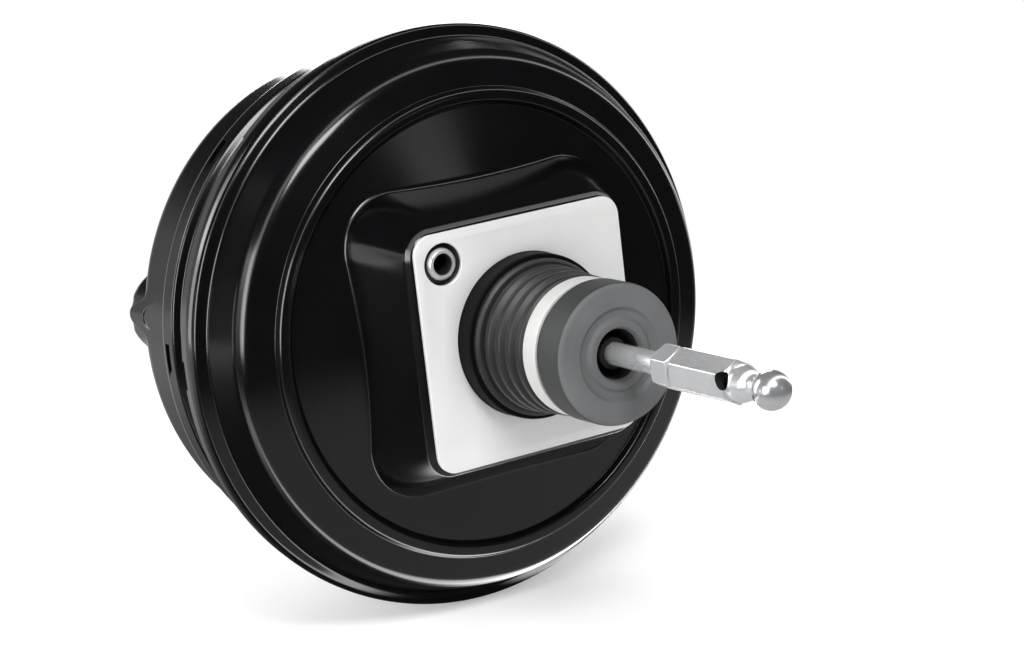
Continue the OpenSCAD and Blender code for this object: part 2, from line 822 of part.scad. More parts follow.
module front_plate_clip() plate_clip(front_stack_y + diaphragm_t + piston_t, nose_r);

module hub_seal() color("#1b1b1b")
    ring(hub_r + fit / 2, hub_r + 6 - divider_t - 0.2, divider_hub_y + divider_t + seat_gap, divider_cup_len - 0.5);

module return_spring() color("#7d8084")
    coil(
        return_r,
        return_r + return_flare,
        return_wire / 2,
        front_stack_y + diaphragm_t + piston_t + clear + return_wire / 2,
        front_inside_y - clear - return_wire / 2,
        return_turns
    );

// Valve body and control valve

// Cylindrical channel along the valve body at a given radius and angle
module channel(radius, angle, y, length)
    translate([radius * cos(angle), 0, radius * sin(angle)]) rod(channel_r, y, length);

module valve_body() color("#3a3733")
    difference() {
        union() {
            spin([
                [0, pocket_floor_y - 2 - cut],
                [valve_r, pocket_floor_y - 2 - cut],
                [valve_r, rear_stack_y - hub_flange_t - 5],
                [valve_r + 4, rear_stack_y - hub_flange_t],
                [hub_flange_r, rear_stack_y - hub_flange_t],
                [hub_flange_r, rear_stack_y],
                [hub_r, rear_stack_y],
                [hub_r, front_stack_y],
                [nose_r, front_stack_y],
                [nose_r, nose_y - 1],
                [nose_r - 1, nose_y],
                [0, nose_y]
            ]);
            rod(valve_r, -valve_back, valve_back);
        }
        rod(valve_bore_r, -valve_back - cut, seat_y + valve_back + cut);
        ring(seat_outer_r, valve_bore_r, seat_y - cut, 2 + cut);
        rod(seat_inner_r, seat_y - cut, 1.2 + cut);
        rod(counter_r, seat_y - cut, counter_y - seat_y + cut);
        rod(plunger_r + fit, seat_y, cavity_y + cut - seat_y);
        rod(cavity_r, cavity_y, nose_y - cavity_y + cut);
        translate([-valve_r + 5, key_y - 0.2, -key_w / 2 - fit])
            cube([2 * valve_r, key_t + 0.4, key_w + 2 * fit]);
        for (angle = [135, 315])
            channel((seat_outer_r + valve_bore_r) / 2 + 0.1, angle, seat_y, nose_y + cut - seat_y);
        for (angle = [80, 260])
            channel((plunger_r + counter_r) / 2 + 0.3, angle, seat_y, key_y - seat_y + 1);
    }

// Ball-socket plunger with the air seat on its rear rim
module plunger() color("#b7b9bc")
    difference() {
        spin([
            [0, plunger_face_y + 1],
            [plunger_rim_r - 2, plunger_face_y + 1],
            [plunger_rim_r - 2, plunger_face_y],
            [plunger_rim_r, plunger_face_y],
            [plunger_rim_r, plunger_face_y + 5],
            [plunger_r, plunger_face_y + 5],
            [plunger_r, key_y - valve_travel - 0.4],
            [groove_r, key_y - valve_travel - 0.4],
            [groove_r, key_y + key_t + 0.4],
            [plunger_r, key_y + key_t + 0.4],
            [plunger_r, cavity_y - valve_travel - clear],
            [0, cavity_y - valve_travel - clear]
        ]);
        translate([0, ball_y, 0]) sphere(r = joint_ball_r + fit);
        rod(joint_ball_r - 0.6, plunger_face_y - cut, ball_y - plunger_face_y + cut);
    }

// Forked key that stops the plunger in the valve body and the valve body on the neck bearing
module stop_key() color("#85888c")
    slab(key_y, key_t)
        difference() {
            translate([-plunger_r - 4, -key_w / 2]) square([plunger_r + 4 + key_reach, key_w]);
            circle(r = groove_r + fit);
            translate([-plunger_r - 4 - cut, -groove_r - fit])
                square([plunger_r + 4 + cut, 2 * (groove_r + fit)]);
        }

module poppet() color("#26262a")
    spin([
        [poppet_inner_r, poppet_y + 1],
        [poppet_inner_r + 1, poppet_y],
        [poppet_outer_r, poppet_y],
        [poppet_outer_r, poppet_y + poppet_t],
        [poppet_inner_r, poppet_y + poppet_t]
    ]);

module poppet_sleeve() color("#26262a")
    spin([
        [poppet_outer_r - 1.4, retainer_y + seat_gap],
        [poppet_outer_r, retainer_y + seat_gap],
        [poppet_outer_r, poppet_y - 3],
        [poppet_outer_r - 0.6, poppet_y - seat_gap],
        [poppet_outer_r - 2, poppet_y - seat_gap],
        [poppet_outer_r - 1.4, poppet_y - 3]
    ]);

module poppet_spring() color("#7d8084")
    coil(poppet_spring_r, poppet_spring_r, 0.5, retainer_y + 0.8, poppet_y - 0.8, 4, 6, 16);

module poppet_retainer() color("#85888c")
    spin([
        [retainer_hole_r, retainer_y - retainer_t],
        [valve_bore_r - fit, retainer_y - retainer_t],
        [valve_bore_r - fit, retainer_y + 4],
        [valve_bore_r - fit - 0.9, retainer_y + 4],
        [valve_bore_r - fit - 0.9, retainer_y],
        [retainer_hole_r, retainer_y]
    ]);

module rod_spring() color("#7d8084")
    coil(rod_spring_r, rod_spring_r, 0.7, rod_collar_y + 1, retainer_y - retainer_t - 1, 4, 6, 16);

module rod_collar() color("#85888c") ring(input_r + fit / 2, rod_collar_r, rod_collar_y - rod_collar_t, rod_collar_t);

module silencer() color("#6b665c") ring(filter_hole_r, valve_bore_r - fit, silencer_y - 4.2, 4.2);

module air_filter() color("#c7c2b4")
    ring(filter_hole_r, valve_bore_r - fit, -valve_back + 1, silencer_y - 4.2 - 0.1 - 1 + valve_back);

module neck_seal() color("#1b1b1b")
    spin([
        [valve_r + fit / 2, -neck_len + 1.5],
        [valve_r + 3, -neck_len + 0.5],
        [neck_r - shell_t - fit, -neck_len + 0.5],
        [neck_r - shell_t - fit, bearing_y - seat_gap],
        [valve_r + fit / 2, bearing_y - seat_gap]
    ]);

module neck_bearing() color("#d8d4c6") ring(valve_r + fit, neck_r - shell_t - fit, bearing_y, bearing_len);

module reaction_disc() color("#26262a") rod(cavity_r - fit, cavity_y, disc_t);

module output_rod() color("#b7b9bc")
    spin([
        [0, cavity_y + disc_t],
        [cavity_r - fit - 1, cavity_y + disc_t],
        [cavity_r - fit, cavity_y + disc_t + 1],
        [cavity_r - fit, cavity_y + disc_t + 8],
        [7, cavity_y + disc_t + 12],
        [6, cavity_y + disc_t + 16],
        [6, body_len - 30],
        [4, body_len - 28],
        [4, body_len - 20],
        [2.5, body_len - 18],
        [0, body_len - 17.5]
    ]);

// Input rod, lock nut and ball sleeve

module input_rod() color("#b9bcc0") {
    translate([0, ball_y, 0]) sphere(r = joint_ball_r);
    spin([
        [0, ball_y],
        [0, sleeve_y - thread_grip],
        [input_r - 0.8, sleeve_y - thread_grip],
        [input_r, sleeve_y - thread_grip + 0.8],
        [input_r, ball_y - 11],
        [input_r - 1.2, ball_y - 9.8],
        [input_r - 1.2, ball_y]
    ]);
}

module lock_nut() color("#b9bcc0")
    difference() {
        intersection() {
            hex_bar(nut_y - nut_len, nut_len);
            spin([
                [0, nut_y - nut_len],
                [hex_af / 2 - 0.2, nut_y - nut_len],
                [hex_r, nut_y - nut_len + 0.8],
                [hex_r, nut_y - 0.8],
                [hex_af / 2 - 0.2, nut_y],
                [0, nut_y]
            ]);
        }
        rod(input_r + fit / 2, nut_y - nut_len - cut, nut_len + 2 * cut);
    }

module ball_sleeve() color("#b9bcc0") {
    rear_y = sleeve_y - sleeve_len;
    difference() {
        intersection() {
            hex_bar(rear_y, sleeve_len);
            spin([
                [0, rear_y],
                [ball_neck_r + 1.5, rear_y],
                [hex_af / 2 - 1.2, rear_y + 4],
                [hex_r, rear_y + 9],
                [hex_r, sleeve_y - 4],
                [hex_af / 2 - 0.6, sleeve_y],
                [0, sleeve_y]
            ]);
        }
        rod(input_r + fit / 2, sleeve_y - 2 * sleeve_len / 3, 2 * sleeve_len / 3 + cut);
        rotate([0, -25, 0])
            translate([-hex_r - cut, sleeve_y - 0.63 * sleeve_len, 0])
                rotate([0, 90, 0]) cylinder(r = witness_r, h = hex_r + cut);
    }
    rod(ball_neck_r, ball_centre_y, rear_y - ball_centre_y + cut);
    translate([0, ball_centre_y, 0]) sphere(r = ball_r);
}

// Boot

// Outside of the boot as [radius, y], from the rear end to the lip on the neck
boot_tail_r = band_r - band_t - fit;
rib_points = [
    for (k = [rib_count - 1 : -1 : 0])
        let (y = ribs_y - k * rib_len, r = rib_r - 0.5 * k)
        for (q = [
            [r - rib_h, y - rib_len + 0.6],
            [r - 0.5, y - rib_len + 2],
            [r, y - rib_len + 3.2],
            [r, y - 2.6],
            [r - 0.6, y - 1.4],
            [r - rib_h, y - 0.4]
        ]) q
];

module dust_boot() color("#2b2c2e")
    union() {
        spin(concat(rib_points, [for (i = [len(rib_points) - 1 : -1 : 0]) rib_points[i] - [boot_t + 0.4, 0]]));
        ring(boot_tail_r - boot_t, boot_tail_r, end_y, band_len + 1);
        ring(rib_r - rib_h - boot_t - 1, lip_r, ribs_y - 0.8, lip_len + 0.8);
    }

module boot_band() color("#e6e5e0") ring(boot_tail_r + fit / 2, band_r, end_y, band_len);

module boot_end_ring() color("#77787a")
    difference() {
        spin([
            [end_hole_r, boot_rear_y + 2.5],
            [end_hole_r + 2.5, boot_rear_y],
            [end_r - 2, boot_rear_y],
            [end_r, boot_rear_y + 2],
            [end_r, end_y - 1],
            [end_r - 1, end_y],
            [valve_r + 2, end_y],
            [valve_r + 2, end_y - 3],
            [end_hole_r, end_y - 3]
        ]);
        ring(end_hole_r + 4.2, end_hole_r + 9, boot_rear_y - cut, 1.2 + cut);
    }

// Ring and tongue round the vacuum port
module port_ring() color("#d2d2ce")
    translate([port_x, 0, port_z])
        slab(lug_y, port_ring_t)
            difference() {
                union() {
                    circle(r = port_r + port_ring_w);
                    rotate(6.5) {
                        translate([-tongue_w / 2, 0]) square([tongue_w, tongue_len]);
                        translate([0, tongue_len]) circle(r = tongue_w / 2 + 0.9);
                    }
                }
                circle(r = port_r);
            }

rear_shell();
front_shell();
mounting_plate();
centre_plate();
tie_rod_upper();
tie_rod_lower();
tie_rod_collars();
tie_rod_gaskets();
rear_diaphragm();
rear_diaphragm_bead();
front_diaphragm();
front_diaphragm_bead();
rear_piston_plate();
front_piston_plate();
rear_plate_clip();
front_plate_clip();
valve_body();
hub_seal();
neck_seal();
neck_bearing();
rear_rod_seals();
front_rod_seals();
divider_rod_seals();
plunger();
stop_key();
poppet();
poppet_sleeve();
poppet_spring();
poppet_retainer();
rod_spring();
rod_collar();
air_filter();
silencer();
reaction_disc();
output_rod();
return_spring();
input_rod();
lock_nut();
ball_sleeve();
dust_boot();
boot_band();
boot_end_ring();
port_ring();
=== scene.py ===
"""Looks of a tandem vacuum brake booster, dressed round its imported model.

Lengths inside the classes are millimetres in the model's own frame: the rods run along Y, the
pedal side is -Y, X points right seen from the pedal side and Z points up. An outline's corner is
a radius, a station along Y and a rounding, and a spot is X and Z.
"""

import logging
import math
from dataclasses import dataclass
from enum import Enum
from typing import Any, Iterable, Optional, Sequence

import bmesh
import bpy
import numpy as np
from mathutils import Matrix, Vector


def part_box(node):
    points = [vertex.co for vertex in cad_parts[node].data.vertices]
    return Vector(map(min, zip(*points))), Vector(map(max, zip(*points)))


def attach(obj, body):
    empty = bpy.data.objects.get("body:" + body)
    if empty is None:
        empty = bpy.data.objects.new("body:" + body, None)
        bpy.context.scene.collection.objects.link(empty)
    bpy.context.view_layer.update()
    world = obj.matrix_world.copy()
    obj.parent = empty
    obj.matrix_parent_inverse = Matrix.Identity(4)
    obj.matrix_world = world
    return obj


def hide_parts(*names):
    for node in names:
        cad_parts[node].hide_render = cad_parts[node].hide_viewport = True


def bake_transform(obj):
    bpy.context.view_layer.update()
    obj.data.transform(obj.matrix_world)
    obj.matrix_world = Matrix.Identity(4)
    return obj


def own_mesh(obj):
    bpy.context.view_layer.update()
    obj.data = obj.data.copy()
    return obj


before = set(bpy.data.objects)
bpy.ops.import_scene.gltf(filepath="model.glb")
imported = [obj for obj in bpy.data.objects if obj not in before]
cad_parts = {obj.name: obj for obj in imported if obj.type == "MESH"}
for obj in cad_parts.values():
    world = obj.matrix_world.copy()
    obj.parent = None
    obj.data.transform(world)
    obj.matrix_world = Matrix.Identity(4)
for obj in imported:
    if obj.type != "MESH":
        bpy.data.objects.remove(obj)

log = logging.getLogger("booster")
MM = 0.001
FULL = 2 * math.pi
# Edges that turn by more degrees than these stay sharp
SHARP, SHARP_HEX, SHARP_WOUND, SHARP_TAB = 32, 24, 40, 60
TINY = 1e-9
HOUSING, PISTONS, POPPET, PEDAL_ROD = "housing", "pistons", "poppet", "pedal_rod"
Object, Mesh, Node, NodeTree = bpy.types.Object, bpy.types.Mesh, bpy.types.Node, bpy.types.NodeTree
Spot = tuple[float, float]
Place = tuple[float, float, float]
Corner = tuple[Any, Any, float]


def linear(colour: str) -> tuple[float, float, float, float]:
    """Turn an sRGB hex colour into the linear colour that a shader socket takes.

    Args:
        colour: Six hex digits after a hash sign.

    Returns:
        Red, green, blue and an alpha of 1.
    """
    parts = [int(colour[i : i + 2], 16) / 255 for i in (1, 3, 5)]
    red, green, blue = (c / 12.92 if c <= 0.04045 else ((c + 0.055) / 1.055) ** 2.4 for c in parts)
    return (red, green, blue, 1.0)


def add(tree: NodeTree, kind: str, settings: Optional[dict] = None, **inputs: Any) -> Node:
    """Add one node with its settings, and set or link its inputs.

    Args:
        tree: The node tree of a material, the world or a modifier.
        kind: The node's type name.
        settings: Attributes of the node, set before its sockets are looked up.
        **inputs: Values by socket name, with underscores for spaces, or by number as in _1. A
            node links its first output, and a pair of a node and a name or number that output.

    Returns:
        The new node.
    """
    made = tree.nodes.new(kind)
    for name, value in (settings or {}).items():
        setattr(made, name, value)
    for name, value in inputs.items():
        socket = made.inputs[int(name[1:]) if name.startswith("_") else name.replace("_", " ")]
        if isinstance(value, Node):
            value = (value, 0)
        if isinstance(value, tuple) and isinstance(value[0], Node):
            tree.links.new(value[0].outputs[value[1]], socket)
        else:
            socket.default_value = value
    return made


def maths(tree: NodeTree, operation: str, *values: Any, kind: str = "Math") -> Node:
    """Add a math node, or a vector math node, that works on the given values or links."""
    numbered = {f"_{k}": value for k, value in enumerate(values)}
    return add(tree, "ShaderNode" + kind, {"operation": operation}, **numbered)


def ramp(
    tree: NodeTree, value: Any, edges: Spot, levels: Spot = (0.0, 1.0), kind: str = "SMOOTHSTEP"
) -> Node:
    """Add a ramp that goes from one level to another while a value passes between two edges.

    Args:
        tree: The node tree.
        value: The link that drives the ramp.
        edges: Where it starts and ends.
        levels: What it gives at either edge.
        kind: How it runs between them.

    Returns:
        The node.
    """
    return add(
        tree, "ShaderNodeMapRange", {"interpolation_type": kind}, Value=value,
        From_Min=edges[0], From_Max=edges[1], To_Min=levels[0], To_Max=levels[1],
    )


def tint(tree: NodeTree, share: Node, first: str, second: str) -> tuple[Node, int]:
    """Mix two hex colours by a share, and give the link to the result."""
    mix = {"data_type": "RGBA"}
    return add(tree, "ShaderNodeMix", mix, _0=share, _6=linear(first), _7=linear(second)), 2


def emptied(owner: Any) -> NodeTree:
    """Give a material or a world an empty node tree."""
    owner.use_nodes = True
    owner.node_tree.nodes.clear()
    return owner.node_tree


class Pattern(Enum):
    """How the surface of a finish was made, which picks its fine relief."""

    PEEL = "sprayed or dipped paint"
    CRYSTAL = "electroplated zinc"
    TURNED = "turned on a lathe"
    DRAWN = "drawn along its length"
    MOULDED = "moulded rubber or plastic"
    FIBRE = "pressed fibre"


@dataclass(frozen=True)
class Finish:
    """One material: its colours, its gloss and the relief that its making leaves."""

    name: str
    colour: str
    other: str
    pattern: Pattern
    roughness: float
    spread: float = 0.06
    metallic: float = 0.0
    grain_mm: float = 1.0
    relief_mm: float = 0.01
    specular: float = 0.5
    cloud_mm: float = 28.0

    def scale(self, size_mm: float) -> float:
        """Noise scale whose blotches are about size_mm wide."""
        return 1 / (size_mm * MM)

    def relief(self, tree: NodeTree, place: tuple[Node, str]) -> Node:
        """Add the height pattern that the way of making leaves.

        Args:
            tree: The material's tree.
            place: The link that gives object coordinates.

        Returns:
            The node whose first output is the height.
        """
        stretch = {Pattern.TURNED: (0.08, 1.0, 0.08), Pattern.DRAWN: (1.0, 0.04, 1.0)}
        squeeze = stretch.get(self.pattern, (1.0, 1.0, 1.0))
        placed = add(tree, "ShaderNodeMapping", Vector=place, Scale=squeeze)
        grain = {"Vector": placed, "Scale": self.scale(self.grain_mm)}
        if self.pattern is Pattern.CRYSTAL:
            return add(tree, "ShaderNodeTexVoronoi", **grain)
        detail = {Pattern.FIBRE: 6.0, Pattern.MOULDED: 3.0}.get(self.pattern, 1.5)
        return add(tree, "ShaderNodeTexNoise", Detail=detail, **grain)

    def make(self) -> bpy.types.Material:
        """Build the material, or give the one already built.

        Returns:
            The material under this finish's name.
        """
        if self.name in bpy.data.materials:
            return bpy.data.materials[self.name]
        material = bpy.data.materials.new(self.name)
        tree = emptied(material)
        place = (add(tree, "ShaderNodeTexCoord"), "Object")
        scale, half = self.scale(self.cloud_mm), self.spread / 2
        cloud = add(tree, "ShaderNodeTexNoise", Vector=place, Scale=scale, Detail=4.0)
        tone = ramp(tree, cloud, (0.32, 0.68), kind="LINEAR")
        gloss = (self.roughness - half, self.roughness + half)
        bump = add(
            tree, "ShaderNodeBump", Height=self.relief(tree, place), Strength=1.0,
            Distance=self.relief_mm * MM,
        )
        shader = add(
            tree, "ShaderNodeBsdfPrincipled", Metallic=self.metallic, Normal=bump,
            Base_Color=tint(tree, tone, self.colour, self.other),
            Roughness=ramp(tree, cloud, (0.25, 0.75), gloss, "LINEAR"),
            Specular_IOR_Level=self.specular,
        )
        add(tree, "ShaderNodeOutputMaterial", Surface=shader)
        return material


# Cathodic dip paint on pressed steel: near black and glossy, so edges light up as thin lines
PAINT = Finish("black_dip_paint", "#060607", "#08080a", Pattern.PEEL, 0.16, 0.03, 0.0, 2.6, 0.0022)
# Bright zinc on a blanked steel plate: nearly white, satin, with a faint crystal sparkle
PLATE_ZINC = Finish("satin_zinc_plate", "#f4f4f3", "#eeefef", Pattern.CRYSTAL, 0.42, 0.06, 0.3, 0.8, 0.003)
# Bright zinc on turned or drawn steel bar: pale crisp facets and fine tool lines
ROD_ZINC = Finish("bright_zinc_bar", "#eff0f1", "#dcdee0", Pattern.TURNED, 0.26, 0.08, 0.72, 0.5, 0.005)
# Turned bearing steel of the ball: pale, with a soft mirror and a tight highlight
BALL_STEEL = Finish("turned_ball_steel", "#dcdddf", "#d0d2d4", Pattern.TURNED, 0.22, 0.04, 0.8, 0.6, 0.002)
# Zinc on thin pressed sheet inside the housing and on the collars: duller, with drawing marks
PRESSED_ZINC = Finish("pressed_zinc_sheet", "#a7a9ac", "#97999c", Pattern.CRYSTAL, 0.38, 0.08, 1.0, 0.9, 0.006)
# Phosphated spring wire: charcoal steel with lengthwise draw lines, quiet in the pilot hole
SPRING_STEEL = Finish("phosphated_spring_wire", "#2c2d2e", "#222324", Pattern.DRAWN, 0.42, 0.06, 0.5, 0.4, 0.004)
# Nitrile seals: deep black rubber with a soft sheen
SEAL_RUBBER = Finish("black_seal_rubber", "#161617", "#1d1d1e", Pattern.MOULDED, 0.55, 0.1, 0.0, 0.6, 0.01)
# EPDM bellows: dark rubber whose crests catch the light in soft pale rings
BOOT_RUBBER = Finish("dark_bellows_rubber", "#1a1a1b", "#222223", Pattern.MOULDED, 0.46, 0.08, 0.0, 0.5, 0.01)
# The boot's skirt over the neck: the same rubber, near black and almost without gloss, which paints shade on the
# neck next to the plate
SKIRT_RUBBER = Finish("dark_skirt_rubber", "#030303", "#050505", Pattern.MOULDED, 0.6, 0.06, 0.0, 0.6, 0.004, 0.1)
# Moulded polyamide band: clean white plastic with a slight sheen
BAND_PLASTIC = Finish("white_band_plastic", "#cfcfcd", "#c7c7c5", Pattern.MOULDED, 0.38, 0.06, 0.0, 0.7, 0.004)
# Dense rubber foam of the end ring: mid grey, matt, with a fine open grain
RING_FOAM = Finish("grey_foam_rubber", "#58595a", "#636465", Pattern.FIBRE, 0.66, 0.12, 0.0, 0.5, 0.04)
# The foam ring's side: darker than its face, painted shade for the side that turns from the lamps
RING_SIDE_SHADE = Finish("foam_side_painted_shade", "#2f3031", "#383939", Pattern.MOULDED, 0.6, 0.1, 0.0, 0.6, 0.02)
# Phenolic moulding of the valve body: brown black and hard
VALVE_PLASTIC = Finish("phenolic_moulding", "#1d1916", "#26211c", Pattern.MOULDED, 0.4, 0.08, 0.0, 0.7, 0.008)
# Guide bearing: pale nylon
BEARING_PLASTIC = Finish("nylon_bearing", "#c9c5b8", "#bfbbae", Pattern.MOULDED, 0.4, 0.06, 0.0, 0.7, 0.004)
# Charcoal felt of the air filter; the same near-black felt paints the shade inside the boot's hole, on a disc
# round the rod and on the lining of the ring's hole
FELT_AND_HOLE_SHADE = Finish("charcoal_felt_and_hole_shade", "#121111", "#1b1a19", Pattern.FIBRE, 0.95, 0.04, 0.0, 0.4, 0.1)
# Painted shade inside the tie tubes and the witness hole: a dull, almost black lining
BORE_SHADE = Finish("painted_bore_shade", "#0d0c0c", "#141313", Pattern.DRAWN, 0.7, 0.1, 0.0, 0.5, 0.01)
# Zinc on the stamped ring of the vacuum port: pale with a warm cast
PORT_ZINC = Finish("stamped_port_zinc", "#f1f1ee", "#e6e6e2", Pattern.CRYSTAL, 0.36, 0.06, 0.6, 0.6, 0.004)


def length_of(runs: np.ndarray) -> np.ndarray:
    """Lengths of the runs between corners, never quite zero."""
    return np.linalg.norm(runs, axis=2, keepdims=True) + TINY


def rounded_rows(
    points: np.ndarray, rounding: Sequence[float], steps: int, supports: int, cyclic: bool = False
) -> np.ndarray:
    """Round the corners of many outlines at once, all with the same number of points.

    Args:
        points: Corners as an array of outline, corner, and radius and station.
        rounding: The rounding of each corner.
        steps: Points on each rounded corner.
        supports: Points on each straight run between two corners, which keep its shading flat.
        cyclic: Whether each outline closes on itself.

    Returns:
        The rounded outlines as an array of the same kind.
    """
    least_reach, most_share, support_gap, support_share = 0.25, 0.46, 0.7, 0.2
    radii = np.asarray(rounding if cyclic else rounding[1:-1], float)
    chain = np.concatenate([points[:, -1:], points, points[:, :1]], 1) if cyclic else points
    here = chain[:, 1:-1]
    back, on = chain[:, :-2] - here, chain[:, 2:] - here
    len_back, len_on = length_of(back), length_of(on)
    back, on = back / len_back, on / len_on
    half = 0.5 * np.arccos(np.clip((back * on).sum(2, keepdims=True), -1, 1))
    reach = radii[None, :, None] / np.maximum(np.tan(half), 1e-6)
    reach = np.minimum(np.maximum(reach, least_reach), most_share * np.minimum(len_back, len_on))
    s = np.linspace(0, 1, steps)[None, None, :, None]
    inward, outward = (back * reach)[:, :, None], (on * reach)[:, :, None]
    arcs = here[:, :, None] + inward * (1 - s) ** 2 + outward * s**2
    first, last = (arcs[:, -1:, -1], arcs[:, :1, 0]) if cyclic else (points[:, :1], points[:, -1:])
    starts = np.concatenate([first, arcs[:, :, -1]], 1)
    gap = np.concatenate([arcs[:, :, 0], last], 1) - starts
    near = np.minimum(support_gap / length_of(gap), support_share)
    middle = 0 * near + 0.5
    shares = [[], [middle], [near, 1 - near], [near, middle, 1 - near]][supports]
    runs = [starts + gap * share for share in shares]
    rows = [] if cyclic else [points[:, 0]] + [run[:, 0] for run in runs]
    for k in range(arcs.shape[1]):
        rows += [arcs[:, k, j] for j in range(steps)]
        rows += [run[:, k + 1] for run in runs]
    return np.stack(rows if cyclic else rows + [points[:, -1]], 1)


def offset_rows(points: np.ndarray, thickness: float) -> np.ndarray:
    """Move outlines to their left by a thickness, with mitred corners.

    Args:
        points: Corners as an array of outline, corner, and radius and station.
        thickness: The distance to move by.

    Returns:
        The moved corners.
    """
    least_mitre = 0.6
    run = np.diff(points, axis=1)
    run = run / length_of(run)
    left = np.stack([-run[..., 1], run[..., 0]], 2)
    before = np.concatenate([left[:, :1], left], 1)
    after = np.concatenate([left, left[:, -1:]], 1)
    share = 1 / np.maximum(1 + (before * after).sum(2, keepdims=True), least_mitre)
    return points + (before + after) * thickness * share


def corner_array(corners: Sequence[Corner], count: int) -> tuple[np.ndarray, list[float]]:
    """Spread corners that may vary with the angle into one array.

    Args:
        corners: The corners, whose radius and station may be arrays.
        count: Number of angles.

    Returns:
        The corners as an array, and their roundings.
    """
    spread = [[np.broadcast_to(np.asarray(v, float), (count,)) for v in c[:2]] for c in corners]
    return np.stack([np.stack(pair, 1) for pair in spread], 1), [c[2] for c in corners]


def show(name: str, data: bpy.types.ID) -> Object:
    """Put a mesh, curve, lamp or camera into the scene as a new object."""
    made = bpy.data.objects.new(name, data)
    bpy.context.scene.collection.objects.link(made)
    return made


def drop(piece: Object) -> None:
    """Take an object out of the scene for good."""
    bpy.data.objects.remove(piece, do_unlink=True)


def settled(piece: Object) -> Mesh:
    """Copy an object's mesh as its modifiers leave it."""
    bpy.context.view_layer.update()
    shown = piece.evaluated_get(bpy.context.evaluated_depsgraph_get())
    return bpy.data.meshes.new_from_object(shown)


def shade(made: Object, sharp: float = SHARP) -> Object:
    """Shade an object smooth, but for edges that turn by more than sharp degrees."""
    made.data.shade_smooth()
    made.data.set_sharp_from_angle(angle=math.radians(sharp))
    return made


def wrap(name: str, mesh: Mesh) -> Object:
    """Close, orient and shade a mesh, and put it in the scene.

    Args:
        name: The object's name.
        mesh: The mesh, in metres.

    Returns:
        The object that shows the mesh.
    """
    work = bmesh.new()
    work.from_mesh(mesh)
    bmesh.ops.remove_doubles(work, verts=work.verts, dist=2e-6)
    bmesh.ops.dissolve_degenerate(work, edges=work.edges, dist=1e-7)
    bmesh.ops.recalc_face_normals(work, faces=work.faces)
    work.to_mesh(mesh)
    work.free()
    return shade(show(name, mesh))


def mesh_piece(name: str, points: Any, faces: Iterable[Sequence[int]]) -> Object:
    """Make an object from points in millimetres, turned the right side out.

    Args:
        name: The object's name.
        points: The vertices in millimetres.
        faces: The faces as lists of vertex numbers.

    Returns:
        The object, at the origin.
    """
    mesh = bpy.data.meshes.new(name)
    mesh.from_pydata((np.asarray(points) * MM).tolist(), [], [list(map(int, f)) for f in faces])
    mesh.update()
    return wrap(name, mesh)


def prism(name: str, points: Sequence[Place], size: int) -> Object:
    """Close a prism or a chain of them from rings of points.

    Args:
        name: The object's name.
        points: The rings of points one after the other.
        size: Points in each ring.

    Returns:
        The object.
    """
    last = len(points) - size
    faces = [
        [k + j, k + (j + 1) % size, k + size + (j + 1) % size, k + size + j]
        for k in range(0, last, size) for j in range(size)
    ]
    caps = [list(range(size)), list(range(len(points) - 1, last - 1, -1))]
    return mesh_piece(name, points, faces + caps)


def lathe(name: str, rows: np.ndarray, angles: np.ndarray, closed: bool = True) -> Object:
    """Turn outlines, one for each angle, into a mesh about the Y axis.

    Args:
        name: The object's name.
        rows: Outlines as an array of angle, point, and radius and station.
        angles: The angle of each outline, in radians from +X towards +Z.
        closed: Whether the last point joins the first, as on a ring.

    Returns:
        The object.
    """
    count, size = rows.shape[:2]
    radius, station, turn = rows[..., 0], rows[..., 1], angles[:, None]
    points = np.stack([radius * np.cos(turn), station, radius * np.sin(turn)], 2).reshape(-1, 3)
    i, j = np.meshgrid(np.arange(count), np.arange(size if closed else size - 1), indexing="ij")
    here, after = i * size, ((i + 1) % count) * size
    faces = [here + j, after + j, after + (j + 1) % size, here + (j + 1) % size]
    return mesh_piece(name, points, np.stack(faces, 2).reshape(-1, 4))


def turned(
    name: str, corners: Sequence[Corner], sides: int = 96, steps: int = 4, closed: bool = True,
    centre: Spot = (0.0, 0.0),
) -> Object:
    """Make a turned part from one outline of corners.

    Args:
        name: The object's name.
        corners: The outline.
        sides: Number of angles.
        steps: Points on each rounded corner.
        closed: False for an outline that starts and ends on the axis.
        centre: Spot of the part's axis.

    Returns:
        The object.
    """
    points, rounding = corner_array(corners, 1)
    rows = rounded_rows(points, rounding, steps, 2, cyclic=closed)
    angles = np.linspace(0, FULL, sides, endpoint=False)
    return shifted(lathe(name, np.repeat(rows, sides, 0), angles, closed), centre)


def shifted(made: Object, spot: Spot) -> Object:
    """Move an object's mesh to a spot, and leave the object at the origin."""
    made.data.transform(Matrix.Translation((spot[0] * MM, 0, spot[1] * MM)))
    return made


def rounded_square(half: Any, core: float, angles: np.ndarray) -> np.ndarray:
    """Give the polar radius of a square with rounded corners.

    Args:
        half: Half the square's width.
        core: Distance of the corner axes from the centre planes.
        angles: The angles to give it at.

    Returns:
        The radius at each angle.
    """
    eighth = math.pi / 4
    a = np.abs((angles + eighth) % (math.pi / 2) - eighth)
    flat, diagonal = half / np.cos(a), core * math.sqrt(2)
    off = diagonal * np.sin(eighth - a)
    corner = diagonal * np.cos(eighth - a) + np.sqrt(np.maximum((half - core) ** 2 - off**2, 0))
    return np.where(flat * np.sin(a) <= core, flat, corner)


def cut(piece: Object, cutter: Object) -> None:
    """Take one closed shape out of another and delete the cutter.

    Args:
        piece: The piece that keeps its name.
        cutter: The shape to take out.
    """
    step = piece.modifiers.new("cut", "BOOLEAN")
    step.operation, step.solver, step.object = "DIFFERENCE", "EXACT", cutter
    result = settled(piece)
    piece.modifiers.clear()
    piece.data = result
    shade(piece)
    drop(cutter)


